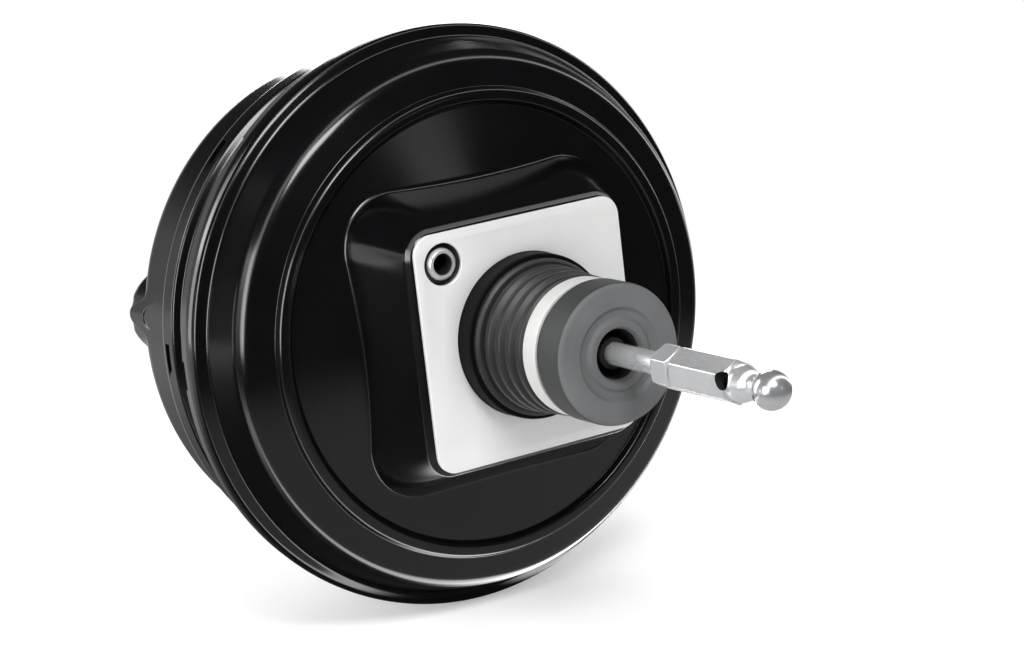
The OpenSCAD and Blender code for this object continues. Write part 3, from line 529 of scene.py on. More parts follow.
def join(name: str, parts: Sequence[Object]) -> Object:
    """Join separate shapes into one object.

    Args:
        name: The new object's name.
        parts: The objects to join, which are removed.

    Returns:
        The joined object.
    """
    points: list[np.ndarray] = []
    faces: list[list[int]] = []
    base = 0
    for part in parts:
        mesh = part.data
        points.append(np.array([v.co for v in mesh.vertices]) / MM)
        faces += [[base + i for i in p.vertices] for p in mesh.polygons]
        base += len(mesh.vertices)
        drop(part)
    return mesh_piece(name, np.concatenate(points), faces)


def dress(piece: Object, finish: Finish, slot: str, body: Optional[str], *nodes: str) -> Object:
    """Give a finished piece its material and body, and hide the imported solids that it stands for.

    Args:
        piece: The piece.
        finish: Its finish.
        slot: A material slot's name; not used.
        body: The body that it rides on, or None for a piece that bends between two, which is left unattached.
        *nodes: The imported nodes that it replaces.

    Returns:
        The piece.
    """
    piece.data.materials.clear()
    piece.data.materials.append(finish.make())
    if body:
        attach(piece, body)
    if nodes:
        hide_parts(*nodes)
    faces = len(piece.data.polygons)
    log.info("%s: %d faces, %s, rides on %s", piece.name, faces, finish.name, body or "two bodies")
    return piece


class Tree:
    """A Geometry Nodes tree with named inputs, applied to one object and then removed."""

    def __init__(self, name: str, sizes: dict[str, float]) -> None:
        """Make the tree with its geometry sockets and one input for each size.

        Args:
            name: The tree's name.
            sizes: Default value by input name; whole numbers make integer inputs.
        """
        self.tree = bpy.data.node_groups.new(name, "GeometryNodeTree")
        self.sizes, self.keys = sizes, {}
        self.socket("Geometry", "Geometry")
        for label, value in sizes.items():
            self.keys[label] = self.socket(label, "Int" if isinstance(value, int) else "Float")
        self.socket("Geometry", "Geometry", "OUTPUT")
        self.inputs = add(self.tree, "NodeGroupInput")

    def socket(self, label: str, kind: str, side: str = "INPUT") -> str:
        """Add a socket to the tree's face and give its key."""
        face = self.tree.interface
        return face.new_socket(label, in_out=side, socket_type="NodeSocket" + kind).identifier

    def given(self, label: str) -> tuple[Node, str]:
        """Link to a named input."""
        return self.inputs, label

    def grow(self, name: str, shape: Node, finish: Finish, seed: Optional[Object] = None) -> Object:
        """End the tree with real geometry and its material, and keep its result as a plain mesh.

        Args:
            name: The new object's name.
            shape: The node that gives the shape.
            finish: The finish to set.
            seed: The object whose mesh the tree starts from, which is removed.

        Returns:
            The object.
        """
        real = add(self.tree, "GeometryNodeRealizeInstances", Geometry=shape)
        smooth = add(self.tree, "GeometryNodeSetShadeSmooth", Geometry=real)
        painted = add(self.tree, "GeometryNodeSetMaterial", Geometry=smooth, Material=finish.make())
        add(self.tree, "NodeGroupOutput", Geometry=painted)
        base = seed or mesh_piece(name + "_seed", np.zeros((1, 3)), [])
        step = base.modifiers.new("grow", "NODES")
        step.node_group = self.tree
        for label, value in self.sizes.items():
            step[self.keys[label]] = value
        mesh = settled(base)
        drop(base)
        bpy.data.node_groups.remove(self.tree)
        return shade(wrap(name, mesh), SHARP_WOUND)

    def repeat(self, name: str, spot: Node, finish: Finish, seed: Object, **pose: Any) -> Object:
        """Set a copy of the seed at each spot, and grow the result.

        Args:
            name: The new object's name.
            spot: The node that gives each copy's place; the input Count says how many.
            finish: The finish to set.
            seed: The shape to repeat, which is removed.
            **pose: The copies' rotation or scale.

        Returns:
            The object.
        """
        line = add(self.tree, "GeometryNodeMeshLine", Count=self.given("Count"))
        placed = add(self.tree, "GeometryNodeSetPosition", Geometry=line, Position=spot)
        shape = {"Points": placed, "Instance": self.given("Geometry"), **pose}
        copies = add(self.tree, "GeometryNodeInstanceOnPoints", **shape)
        return self.grow(name, copies, finish, seed)


@dataclass
class Coil:
    """A wire or thread wound about a line parallel to Y."""

    start_r: float
    end_r: float
    start_y: float
    end_y: float
    turns: float
    wire_r: float
    sides: int = 12
    per_turn: int = 48

    def build(self, name: str, finish: Finish, centre: Spot = (0.0, 0.0)) -> Object:
        """Wind the wire with Geometry Nodes.

        Args:
            name: The piece's name.
            finish: The wire's finish.
            centre: Spot of the coil's axis.

        Returns:
            The piece.
        """
        tree = Tree(name + "_winding", {
            "Turns": float(self.turns), "Start Radius": self.start_r * MM,
            "End Radius": self.end_r * MM, "Height": (self.end_y - self.start_y) * MM,
            "Wire Radius": self.wire_r * MM, "Start": self.start_y * MM,
            "Wire Sides": self.sides, "Steps per Turn": self.per_turn,
        })
        t, given = tree.tree, tree.given
        path = add(
            t, "GeometryNodeCurveSpiral", Resolution=given("Steps per Turn"),
            Rotations=given("Turns"), Height=given("Height"),
            Start_Radius=given("Start Radius"), End_Radius=given("End Radius"),
        )
        lift = add(t, "ShaderNodeCombineXYZ", Y=given("Start"))
        flat = (math.radians(-90), 0, 0)
        laid = add(t, "GeometryNodeTransform", Geometry=path, Rotation=flat, Translation=lift)
        section = {"Resolution": given("Wire Sides"), "Radius": given("Wire Radius")}
        wire = add(t, "GeometryNodeCurvePrimitiveCircle", **section)
        tube = add(t, "GeometryNodeCurveToMesh", Curve=laid, Profile_Curve=wire, Fill_Caps=True)
        return shifted(tree.grow(name, tube, finish), centre)


def ring_of(name: str, tab: Object, count: int, place: Spot, finish: Finish) -> Object:
    """Repeat a small part round the Y axis with Geometry Nodes.

    Args:
        name: The piece's name.
        tab: The part at the origin, with X outwards; it is removed.
        count: Number of copies.
        place: The copies' radius and station.
        finish: Their finish.

    Returns:
        The piece.
    """
    sizes = {"Count": count, "Radius": place[0] * MM, "Station": place[1] * MM}
    tree = Tree(name + "_ring", sizes)
    t, given = tree.tree, tree.given
    share = maths(t, "DIVIDE", add(t, "GeometryNodeInputIndex"), given("Count"))
    turn = maths(t, "MULTIPLY", share, FULL)
    x = maths(t, "MULTIPLY", maths(t, "COSINE", turn), given("Radius"))
    z = maths(t, "MULTIPLY", maths(t, "SINE", turn), given("Radius"))
    spot = add(t, "ShaderNodeCombineXYZ", X=x, Y=given("Station"), Z=z)
    facing = add(t, "ShaderNodeCombineXYZ", Y=maths(t, "MULTIPLY", turn, -1.0))
    return tree.repeat(name, spot, finish, tab, Rotation=facing)


def block(size: Place, middle: Place, turn: float) -> Object:
    """Make a plain block, used to cut windows.

    Args:
        size: Its lengths along X, Y and Z.
        middle: Its centre before it is turned.
        turn: Degrees that it is turned about Y, from +X towards +Z.

    Returns:
        The object.
    """
    half = (-0.5, 0.5)
    corners = np.array([[x, y, z] for x in half for y in half for z in half])
    x, y, z = (corners * np.array(size) + np.array(middle)).T
    a = math.radians(turn)
    spun = [x * math.cos(a) - z * math.sin(a), y, x * math.sin(a) + z * math.cos(a)]
    faces = [[0, 1, 3, 2], [4, 6, 7, 5], [0, 4, 5, 1], [2, 3, 7, 6], [0, 2, 6, 4], [1, 5, 7, 3]]
    return mesh_piece("block", np.stack(spun, 1), faces)


def bore(radius: float, start: float, end: float, centre: Spot = (0.0, 0.0)) -> Object:
    """Make a plain cylinder along Y from start to end, used to cut holes."""
    corners = [(0, start, 0), (radius, start, 0), (radius, end, 0), (0, end, 0)]
    return turned("bore", corners, 64, 2, False, centre)


@dataclass
class TiePlaces:
    """Where the two tie rods stand, seen along the axis."""

    pitch: float = 112.0
    clearance_r: float = 7.4

    def spots(self) -> list[Spot]:
        """Spots of the upper and the lower rod."""
        reach = self.pitch / 2 / math.sqrt(2)
        return [(-reach, reach), (reach, -reach)]

    def holes(self, start: float, end: float) -> list[Object]:
        """Cutters for the rods' holes in a pressing, from one station to another."""
        return [bore(self.clearance_r, start, end, spot) for spot in self.spots()]


@dataclass
class Tabs:
    """The crimp tabs that lock the two pressings and the divider together."""

    count: int = 8
    width: float = 13.0
    gap: float = 0.4
    slit: float = 16.0
    rim: Spot = (133.9, 74.2)
    ridge: Spot = (125.0, 109.0)
    ridge_half: float = 1.75
    sheet: float = 1.8
    dip: float = 3.4
    dip_power: float = 1.6
    steps: int = 6

    def turns(self) -> list[float]:
        """Degrees at which the tabs stand."""
        return [360 / self.count * k for k in range(self.count)]

    def windows(self, size: Place, middle: Place) -> list[Object]:
        """Cutters of one size round the axis, one at each tab."""
        return [block(size, middle, turn) for turn in self.turns()]

    def rim_tab(self) -> Object:
        """Curl one tab over the flange at the rim."""
        half = self.width / 2 - self.gap
        outer = [(0.0, 0.0), (-1.2, 0.9), (-3.2, 0.5), (-4.6, -0.6)]
        curl = outer + [(-4.6, -1.9), (-3.0, -0.9), (-1.2, -0.6), (0.0, -1.5)]
        points = [(x, y, z) for z in (-half, half) for x, y in curl]
        return shade(prism("rim_tab", points, len(curl)), SHARP_TAB)

    def ridge_tab(self) -> Object:
        """Dip one tab into its window in the ridge."""
        start, end = -self.slit / 2 + 6.4, self.slit / 2 + 0.3
        radius, half = self.ridge[0], self.ridge_half
        points = []
        for k in range(self.steps + 1):
            s = k / self.steps
            z = start + (end - start) * s
            bow = math.sqrt(radius**2 - z * z) - radius
            drop_in = -self.dip * (1 - s) ** self.dip_power
            for x, y in ((0.0, -half), (0.0, half), (-self.sheet, half), (-self.sheet, -half)):
                points.append((x + bow + drop_in, y, z))
        return prism("ridge_tab", points, 4)

    def build(self) -> None:
        """Bend the two rows of tabs."""
        for name, tab, place in (
            ("rim_crimp_tabs", self.rim_tab(), self.rim),
            ("ridge_crimp_tabs", self.ridge_tab(), self.ridge),
        ):
            made = ring_of(name, tab, self.count, place, PAINT)
            dress(made, PAINT, "shell_paint", HOUSING)


@dataclass
class RearPressing:
    """The rear pressing: neck, square boss, shallow dome, bead, shoulder and rim band."""

    sheet: float = 2.2
    neck_r: float = 36.6
    neck_end: float = -8.5
    seat_y: float = 2.0
    shoulder_y: float = 4.6
    seat_half: float = 53.7
    shoulder_half: float = 56.1
    foot_half: float = 71.0
    foot_y: float = 36.5
    core: float = 43.0
    dome_in: Spot = (40.5, 25.4)
    dome_out: Spot = (99.5, 36.6)
    groove: tuple[float, float, float] = (101.6, 105.8, 34.0)
    bead: Spot = (107.8, 37.2)
    shoulder: Spot = (121.5, 42.5)
    cone_end: Spot = (129.0, 60.6)
    rim_r: float = 135.0
    rim_y: float = 75.5
    step: float = 1.0
    fine_step: float = 0.5
    corner_reach: float = 14.0
    rounds: int = 20

    def angles(self) -> np.ndarray:
        """Angles a step apart, with a finer step near the boss's corners."""
        fine, reach = self.fine_step, self.corner_reach
        kept = list(np.arange(0, 360, self.step))
        for corner in (45, 135, 225, 315):
            kept += list(np.arange(corner - reach, corner + reach + fine / 2, fine) % 360)
        return np.radians(np.unique(np.round(kept, 4)))

    def foot(self, angles: np.ndarray) -> tuple[np.ndarray, np.ndarray]:
        """Find where the boss's flared walls meet the dome.

        Args:
            angles: The angles to find it at.

        Returns:
            The radius and the station at each angle.
        """
        rise, run = self.dome_out[1] - self.dome_in[1], self.dome_out[0] - self.dome_in[0]
        slope = rise / run
        flare = (self.foot_half - self.shoulder_half) / (self.foot_y - self.shoulder_y)
        y = np.full_like(angles, (self.dome_in[1] + self.dome_out[1]) / 2)
        for _ in range(self.rounds):
            half = self.shoulder_half + (y - self.shoulder_y) * flare
            r = rounded_square(half, self.core, angles)
            y = self.dome_in[1] + (r - self.dome_in[0]) * slope
        return r, y

    def build(self, ties: TiePlaces, tabs: Tabs) -> None:
        """Press the shell, then cut its tie-rod holes and the notches of its crimp tabs.

        Args:
            ties: The tie rods' places.
            tabs: The crimp tabs.
        """
        angles = self.angles()
        side, rim, floor = self.rim_r - 0.05, self.rim_r - 0.6, self.groove[2]
        corners: list[Corner] = [
            (self.neck_r - self.sheet, self.neck_end, 0.5),
            (self.neck_r, self.neck_end, 1.8),
            (self.neck_r, self.seat_y, 2.0),
            (rounded_square(self.seat_half, self.core, angles), self.seat_y, 2.4),
            (rounded_square(self.shoulder_half, self.core, angles), self.shoulder_y, 4.0),
            (*self.foot(angles), 3.5), (*self.dome_out, 0.5),
            (self.groove[0], floor, 2.0), (self.groove[1], floor, 2.6), (*self.bead, 0.5),
            (self.shoulder[0] - 1.8, self.shoulder[1] - 1.1, 9.0),
            (self.shoulder[0] + 2.0, self.shoulder[1] + 3.9, 9.0), (*self.cone_end, 2.6),
            (rim, 62.6, 3.4), (side, 66.6, 8.0), (side, 69.4, 8.0),
            (self.rim_r - 0.9, self.rim_y, 0.6),
        ]
        outer, rounding = corner_array(corners, len(angles))
        inner = offset_rows(outer[:, 2:], self.sheet)[:, ::-1]
        folded = rounded_rows(inner, [1.5] * inner.shape[1], 2, 1)
        rows = np.concatenate([rounded_rows(outer, rounding, 5, 3), folded], 1)
        made = lathe("rear_pressing", rows, angles)
        notches = tabs.windows((4, 3.6, tabs.width), (rim, 74.9, 0))
        cut(made, join("cutters", ties.holes(-1, 8) + notches))
        dress(made, PAINT, "shell_paint", HOUSING, "rear_shell")


@dataclass
class FrontPressing:
    """The front pressing: flange, waist, ridge, drum with lug, ear and pocket, and raised pad."""

    sheet: float = 2.2
    drum_r: float = 118.0
    bevel_y: float = 146.0
    face_r: float = 105.5
    face_y: float = 165.0
    pad_y: float = 168.0
    pad_half: float = 67.2
    pad_core: float = 21.0
    pilot_r: float = 26.2
    pilot_rim_r: float = 37.7
    pilot_rim_y: float = 169.5
    lug_x: float = 79.0
    lug_r: float = 119.8
    lug_low: float = -20.0
    lug_high: float = 50.0
    flat_y: float = 162.8
    ear: Spot = (-99.0, 12.0)
    ear_r: float = 19.0
    ear_start: float = 137.8
    ear_foot_r: float = 106.9
    ear_least: float = 107.5
    pocket: Spot = (-46.0, -14.0)
    pocket_depth: float = 17.0
    pocket_start: float = 4.5
    pocket_rise: float = 21.5
    bumpy: Spot = (-50.0, 38.0)
    bumpy_back: Spot = (158.0, -170.0)
    port: Spot = (93.0, -1.0)
    port_r: float = 6.0
    turn_step: float = 0.5
    blur: float = 2.0
    blur_reach: int = 5

    def bevel_station(self, r: float) -> float:
        """Station of the bevel's surface at a radius."""
        share = min(max((self.drum_r - r) / (self.drum_r - self.face_r), 0), 1)
        return self.bevel_y + share * (self.face_y - self.bevel_y)

    def on_bevel(self, y: float) -> Spot:
        """Radius and station of the bevel's surface at a station."""
        fall = (self.drum_r - self.face_r) / (self.face_y - self.bevel_y)
        return self.drum_r - (y - self.bevel_y) * fall, y

    def in_pocket(self, share: float) -> Spot:
        """Radius and station of the pocket's slope at a share of its run."""
        rise = self.pocket_rise * share
        return self.drum_r - self.pocket_depth * share, self.bevel_y - self.pocket_start + rise

    def front_corner(self, turn: float) -> list[Spot]:
        """Give the seven corners from the drum's side to its face at one angle.

        Args:
            turn: The angle in degrees, from -180 to 180.

        Returns:
            Radius and station of each corner.
        """
        a, drum, flat, last = math.radians(turn), self.drum_r, self.flat_y, self.face_y
        plain = [(drum, 130.0), (drum, 138.0), (drum, self.bevel_y)]
        if self.pocket[0] <= turn <= self.pocket[1]:
            slope = [self.in_pocket(share) for share in (0, 0.35, 0.7, 1)]
            return [(drum, 130), (drum, 136), *slope, (drum - self.pocket_depth, last)]
        side = self.lug_x / math.cos(a) if abs(turn) < 60 else math.inf
        level = self.lug_high if a > 0 else -self.lug_low
        edge = min(self.lug_r, level / max(abs(math.sin(a)), 1e-6))
        if edge > side + 1.5:
            step = [(side + 0.01, flat), (side, last)]
            if edge < drum:
                return [*plain, (edge + 0.01, self.bevel_station(edge)), (edge, flat), *step]
            wall = [(drum, 138.8), (self.lug_r, 144.8), (self.lug_r, 159.8)]
            return [*wall, (self.lug_r - 1.5, 161.3), (self.lug_r - 3, flat), *step]
        ear_turn, ear_out = math.atan2(self.ear[1], self.ear[0]), math.hypot(*self.ear)
        along, across = ear_out * math.cos(a - ear_turn), ear_out * math.sin(a - ear_turn)
        room = self.ear_r**2 - across**2
        if room > 0 and along > 0:
            out = along + math.sqrt(room)
            step = [(self.ear_foot_r, flat), (self.face_r, last)]
            if out > drum:
                rise = max(math.hypot(drum - along, across) - self.ear_r + 9, 0)
                wall = [(drum, self.ear_start + rise), (out, self.ear_start + 9), (out, 160.8)]
                return [*wall, (out - 1, 161.8), (out - 2, flat), *step]
            if out > self.ear_least:
                return [*plain, (out + 0.01, self.bevel_station(out)), (out, flat), *step]
        return [*plain, *(self.on_bevel(y) for y in (151.0, 155.5, 160.0, last))]

    def fronts(self) -> tuple[np.ndarray, np.ndarray]:
        """Soften the corners along the angle, and keep the angles that the bumps need.

        Returns:
            The angles in radians, and the seven corners at each.
        """
        turns = np.arange(-180, 180, self.turn_step)
        front = np.array([self.front_corner(t) for t in turns])
        shifts = np.arange(-self.blur_reach, self.blur_reach + 1)
        weights = np.exp(-0.5 * (shifts / self.blur) ** 2)
        front = sum(w * np.roll(front, k, 0) for k, w in zip(shifts, weights)) / weights.sum()
        (first, last), (start, end) = self.bumpy, self.bumpy_back
        fine = ((turns >= first) & (turns <= last)) | (turns >= start) | (turns <= end)
        keep = fine | (np.arange(len(turns)) % 2 == 0)
        return np.radians(turns[keep]), front[keep]

    def build(self, ties: TiePlaces, tabs: Tabs) -> None:
        """Press the shell with its bumps, then cut its holes and tab windows.

        Args:
            ties: The tie rods' places.
            tabs: The crimp tabs.
        """
        angles, front = self.fronts()
        flange: list[Corner] = [
            (125.2, 70.3, 0.4), (132.7, 70.3, 0.4), (132.7, 72.5, 0.4), (127.4, 72.5, 1.5),
        ]
        waist_and_ridge: list[Corner] = [
            (127.4, 89.0, 6.0), (121.2, 97.5, 3.0), (121.2, 101.0, 1.2), (125.0, 103.0, 1.6),
            (125.0, 114.0, 3.5), (116.8, 119.0, 3.0), (118.0, 122.5, 4.0),
        ]
        softness = (6.0, 6.0, 10.0, 3.0, 4.0, 3.0, 7.0)
        bumps: list[Corner] = [(*front[:, k].T, r) for k, r in enumerate(softness)]
        pad: list[Corner] = [
            (rounded_square(self.pad_half, self.pad_core, angles), self.face_y, 4.0),
            (rounded_square(self.pad_half - 4, self.pad_core, angles), self.pad_y, 3.0),
            (self.pilot_rim_r + 1.2, self.pad_y, 1.5), (self.pilot_rim_r, self.pilot_rim_y, 1.0),
            (self.pilot_r, self.pilot_rim_y, 0.5), (self.pilot_r, self.face_y + 0.8, 0.4),
        ]
        outer, rounding = corner_array(flange + waist_and_ridge + bumps + pad, len(angles))
        kept_inside = [4, 5, 6, 7, 8, 9, 10, 13, 16, 17, 19]
        inner = offset_rows(outer[:, kept_inside], self.sheet)[:, ::-1]
        inner[:, 0] = (self.pilot_r + 4, self.pad_y - self.sheet)
        folded = rounded_rows(inner, [1.5] * inner.shape[1], 2, 0)
        rows = np.concatenate([rounded_rows(outer, rounding, 4, 2), folded], 1)
        made = lathe("front_pressing", rows, angles)
        holes = ties.holes(160, 174) + [bore(self.port_r, 155, 174, self.port)]
        windows = tabs.windows((5.4, 3.8, tabs.slit), (tabs.ridge[0] - 1.1, tabs.ridge[1], 0))
        cut(made, join("cutters", holes + windows))
        dress(made, PAINT, "shell_paint", HOUSING, "front_shell")


def flat_plate(name: str, outlines: Sequence[Sequence[Spot]], faces: Spot, edge: float) -> Object:
    """Blank a plate in the X-Z plane with rounded edges from closed outlines.

    Args:
        name: The object's name.
        outlines: The outer outline and then its holes.
        faces: Stations of its rear and its front face.
        edge: Rounding of its edges.

    Returns:
        The object.
    """
    rear, front = faces
    curve = bpy.data.curves.new(name, "CURVE")
    curve.dimensions, curve.fill_mode = "2D", "BOTH"
    curve.extrude = ((front - rear) / 2 - edge) * MM
    curve.bevel_depth, curve.bevel_resolution, curve.offset = edge * MM, 3, -edge * MM
    for outline in outlines:
        spline = curve.splines.new("POLY")
        spline.points.add(len(outline) - 1)
        for point, (x, z) in zip(spline.points, outline):
            point.co = (x * MM, z * MM, 0, 1)
        spline.use_cyclic_u = True
    holder = show(name + "_curve", curve)
    mesh = settled(holder)
    drop(holder)
    lift = Matrix.Translation((0, (rear + front) / 2 * MM, 0))
    mesh.transform(lift @ Matrix.Rotation(math.radians(90), 4, "X"))
    return wrap(name, mesh)


def arc(centre: Spot, radius: float, turns: Iterable[float]) -> list[Spot]:
    """Points of an arc in the X-Z plane, one for each angle in radians."""
    return [(centre[0] + radius * math.cos(a), centre[1] + radius * math.sin(a)) for a in turns]


def circle(centre: Spot, radius: float, count: int = 72) -> list[Spot]:
    """Points of a circle in the X-Z plane."""
    return arc(centre, radius, [FULL * k / count for k in range(count)])


@dataclass
class MountingPlate:
    """The square zinc plate between the boss and the bulkhead."""

    half: float = 53.5
    corner: float = 9.0
    thickness: float = 2.0
    hole_r: float = 37.0
    window_r: float = 9.4

    def build(self, ties: TiePlaces) -> None:
        """Blank the plate with its hole and a window for each tie rod."""
        outline: list[Spot] = []
        core = self.half - self.corner
        for sx, sz, first in ((1, 1, 0), (-1, 1, 90), (-1, -1, 180), (1, -1, 270)):
            turns = [math.radians(first + 7.5 * k) for k in range(13)]
            outline += arc((sx * core, sz * core), self.corner, turns)
        holes = [circle((0, 0), self.hole_r, 120)]
        holes += [circle(spot, self.window_r) for spot in ties.spots()]
        made = flat_plate("zinc_plate", [outline, *holes], (0.0, self.thickness), 0.35)
        dress(made, PLATE_ZINC, "plate_zinc", HOUSING, "mounting_plate")


@dataclass
class TieRod:
    """One hollow tie rod with its shoulders, and its thread in front of the pad."""

    outside_r: float = 7.2
    bore_r: float = 4.8
    shoulder_rise: float = 2.8
    length: float = 186.3
    thread_start: float = 173.4
    pitch: float = 1.5
    core_r: float = 6.35

    def build(self, which: str, spot: Spot) -> None:
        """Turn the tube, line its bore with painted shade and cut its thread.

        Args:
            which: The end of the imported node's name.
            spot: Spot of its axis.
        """
        body, core, end, start = self.outside_r, self.core_r, self.length, self.thread_start
        shoulder = body + self.shoulder_rise
        corners: list[Corner] = [
            (self.bore_r, 0, 0.3), (body - 1.1, 0, 0.4), (body, 1.6, 0.3), (body, 5.9, 0.2),
            (shoulder, 5.9, 0.3), (shoulder, 9.3, 0.3), (body, 9.3, 0.3), (body, 160.7, 0.3),
            (shoulder, 160.7, 0.3), (shoulder, 164.2, 0.3), (body, 164.2, 0.2), (body, start, 0.3),
            (core, start + 0.8, 0.3), (core, end - 0.7, 0.3), (core - 0.7, end, 0.3),
            (self.bore_r, end, 0.4),
        ]
        tube = turned("tie_tube_" + which, corners, 72, 3, True, spot)
        dress(tube, ROD_ZINC, "rod_zinc", HOUSING, "tie_rod_" + which)
        # A near-black lining down the bore paints the shade inside the tube
        inside, outside = self.bore_r - 0.3, self.bore_r + 0.2
        lining: list[Corner] = [
            (inside, 0.7, 0.1), (outside, 0.7, 0.1),
            (outside, end - 0.8, 0.1), (inside, end - 0.8, 0.1),
        ]
        lined = turned("tie_bore_shade_" + which, lining, 48, 2, True, spot)
        dress(lined, BORE_SHADE, "black_rubber", HOUSING)
        turns = (end - 1.2 - start) / self.pitch
        thread = Coil(core, core, start + 0.6, end - 0.9, turns, body - core, 4, 40)
        dress(thread.build("tie_thread_" + which, ROD_ZINC, spot), ROD_ZINC, "rod_zinc", HOUSING)


def tie_collars(ties: TiePlaces) -> None:
    """Turn the two collars that clamp the front pressing on the tie rods."""
    corners: list[Corner] = [
        (7.25, 168.0, 0.2), (10.5, 168.0, 0.3), (10.5, 172.2, 1.2), (9.2, 173.0, 0.8),
        (7.25, 173.0, 0.3),
    ]
    both = [turned("collar", corners, 64, 4, True, spot) for spot in ties.spots()]
    made = join("stud_collars", both)
    dress(made, PRESSED_ZINC, "rod_zinc", HOUSING, "tie_rod_collars")


@dataclass
class DustBoot:
    """The bellows on the neck, the white band and the end ring that hugs the rod."""

    lip_r: float = 35.0
    rib_r: float = 32.6
    last_rib_r: float = 31.1
    rib_h: float = 3.0
    wall: float = 1.7
    ribs: int = 4
    rib_len: float = 7.5
    ribs_start: float = -12.0
    neck_r: float = 36.62
    skirt_r: float = 36.9
    ring_r: float = 31.0
    hole_r: float = 11.0
    rear: float = -72.0

    def ribbed(self) -> Object:
        """Mould one rib and repeat it along the axis with Geometry Nodes.

        Returns:
            The ribs, which shrink a little towards the ring.
        """
        top, low, run = self.rib_r, self.rib_r - self.rib_h, -self.rib_len
        rib: list[Corner] = [
            (low - self.wall, 0, 0.4), (low, 0, 0.6), (top, run * 0.3, 1.6), (top, run * 0.7, 1.6),
            (low, run, 0.6), (low - self.wall, run, 0.4),
            (top - self.wall, run * 0.68, 1.0), (top - self.wall, run * 0.32, 1.0),
        ]
        tree = Tree("bellows_ribs", {
            "Count": self.ribs, "Pitch": run * MM, "Start": self.ribs_start * MM,
            "Shrink": (self.last_rib_r / self.rib_r - 1) / (self.ribs - 1),
        })
        t, given = tree.tree, tree.given
        number = add(t, "GeometryNodeInputIndex")
        along = maths(t, "MULTIPLY_ADD", number, given("Pitch"), given("Start"))
        spot = add(t, "ShaderNodeCombineXYZ", Y=along)
        width = maths(t, "MULTIPLY_ADD", number, given("Shrink"), 1.0)
        size = add(t, "ShaderNodeCombineXYZ", X=width, Y=1.0, Z=width)
        return tree.repeat("ribs", spot, BOOT_RUBBER, turned("rib", rib, 120, 5), Scale=size)

    def bellows(self) -> None:
        """Join the ribs with the lip and the sleeve under the band, and add the skirt."""
        lip: list[Corner] = [
            (31.0, -13.2, 0.5), (33.6, -12.8, 1.0), (self.lip_r, -11.6, 0.9),
            (self.lip_r, -9.2, 0.9), (33.9, -8.4, 0.6), (28.6, -8.4, 0.4), (28.6, -13.2, 0.4),
        ]
        under: list[Corner] = [
            (27.2, -41.6, 0.3), (28.9, -41.6, 0.3), (28.9, -53.0, 0.3), (27.2, -53.0, 0.3),
        ]
        skirt: list[Corner] = [
            (self.neck_r, 1.9, 0.1), (self.neck_r, -8.7, 0.2), (34.2, -9.6, 0.2), (34.2, -9.9, 0.2),
            (self.skirt_r, -9.4, 0.9), (self.skirt_r, 1.9, 0.1),
        ]
        shapes = [self.ribbed(), turned("lip", lip, 120, 5), turned("under", under, 96, 3)]
        made = join("bellows", shapes)
        # The skirt's near-black, dull rubber paints shade on the neck by the plate
        dress(turned("neck_skirt", skirt, 120, 5), SKIRT_RUBBER, "boot_rubber", HOUSING)
        dress(made, BOOT_RUBBER, "boot_rubber", HOUSING, "dust_boot")

    def end_ring(self) -> None:
        """Mould the foam ring, and paint shade on its side and in its hole."""
        side, rear, hole = self.ring_r, self.rear, self.hole_r
        ring: list[Corner] = [
            (27.0, -52.1, 0.4), (29.2, -52.1, 0.6), (29.6, -53.8, 0.5), (side, -54.6, 1.2),
            (side, rear + 1, 3.2), (24.0, rear, 2.5), (20.6, rear, 1.2), (19.2, rear + 1.6, 1.4),
            (16.2, rear + 1.6, 1.4), (14.8, rear, 1.4), (12.0, rear + 0.2, 1.2),
            (hole, rear + 2.4, 1.4), (hole, -54.2, 1.0), (20.0, -52.1, 1.0),
        ]
        made = turned("end_ring", ring, 120, 6)
        dress(made, RING_FOAM, "ring_foam", HOUSING, "boot_end_ring")
        # Painted shade: the faces round the ring's side take the darker foam
        made.data.materials.append(RING_SIDE_SHADE.make())
        for face in made.data.polygons:
            if abs(face.normal.y) < 0.5 and math.hypot(face.center.x, face.center.z) > 20 * MM:
                face.material_index = 1
        # A near-black felt lining in the ring's hole, which paints the shade inside it
        wall: list[Corner] = [
            (10.6, -54.6, 0.2), (11.1, -54.6, 0.2),
            (11.1, rear + 3.4, 0.2), (10.7, rear + 3.0, 0.2),
        ]
        dress(turned("ring_hole_shade", wall, 96, 3), FELT_AND_HOLE_SHADE, "ring_foam", HOUSING)

    def build(self) -> None:
        """Build the bellows, the band and the end ring."""
        self.bellows()
        band: list[Corner] = [
            (29.0, -42.1, 0.2), (30.5, -42.1, 0.6), (30.5, -51.6, 0.6), (29.0, -51.6, 0.2),
        ]
        made = turned("white_band", band, 120, 4)
        dress(made, BAND_PLASTIC, "band_plastic", HOUSING, "boot_band")
        self.end_ring()


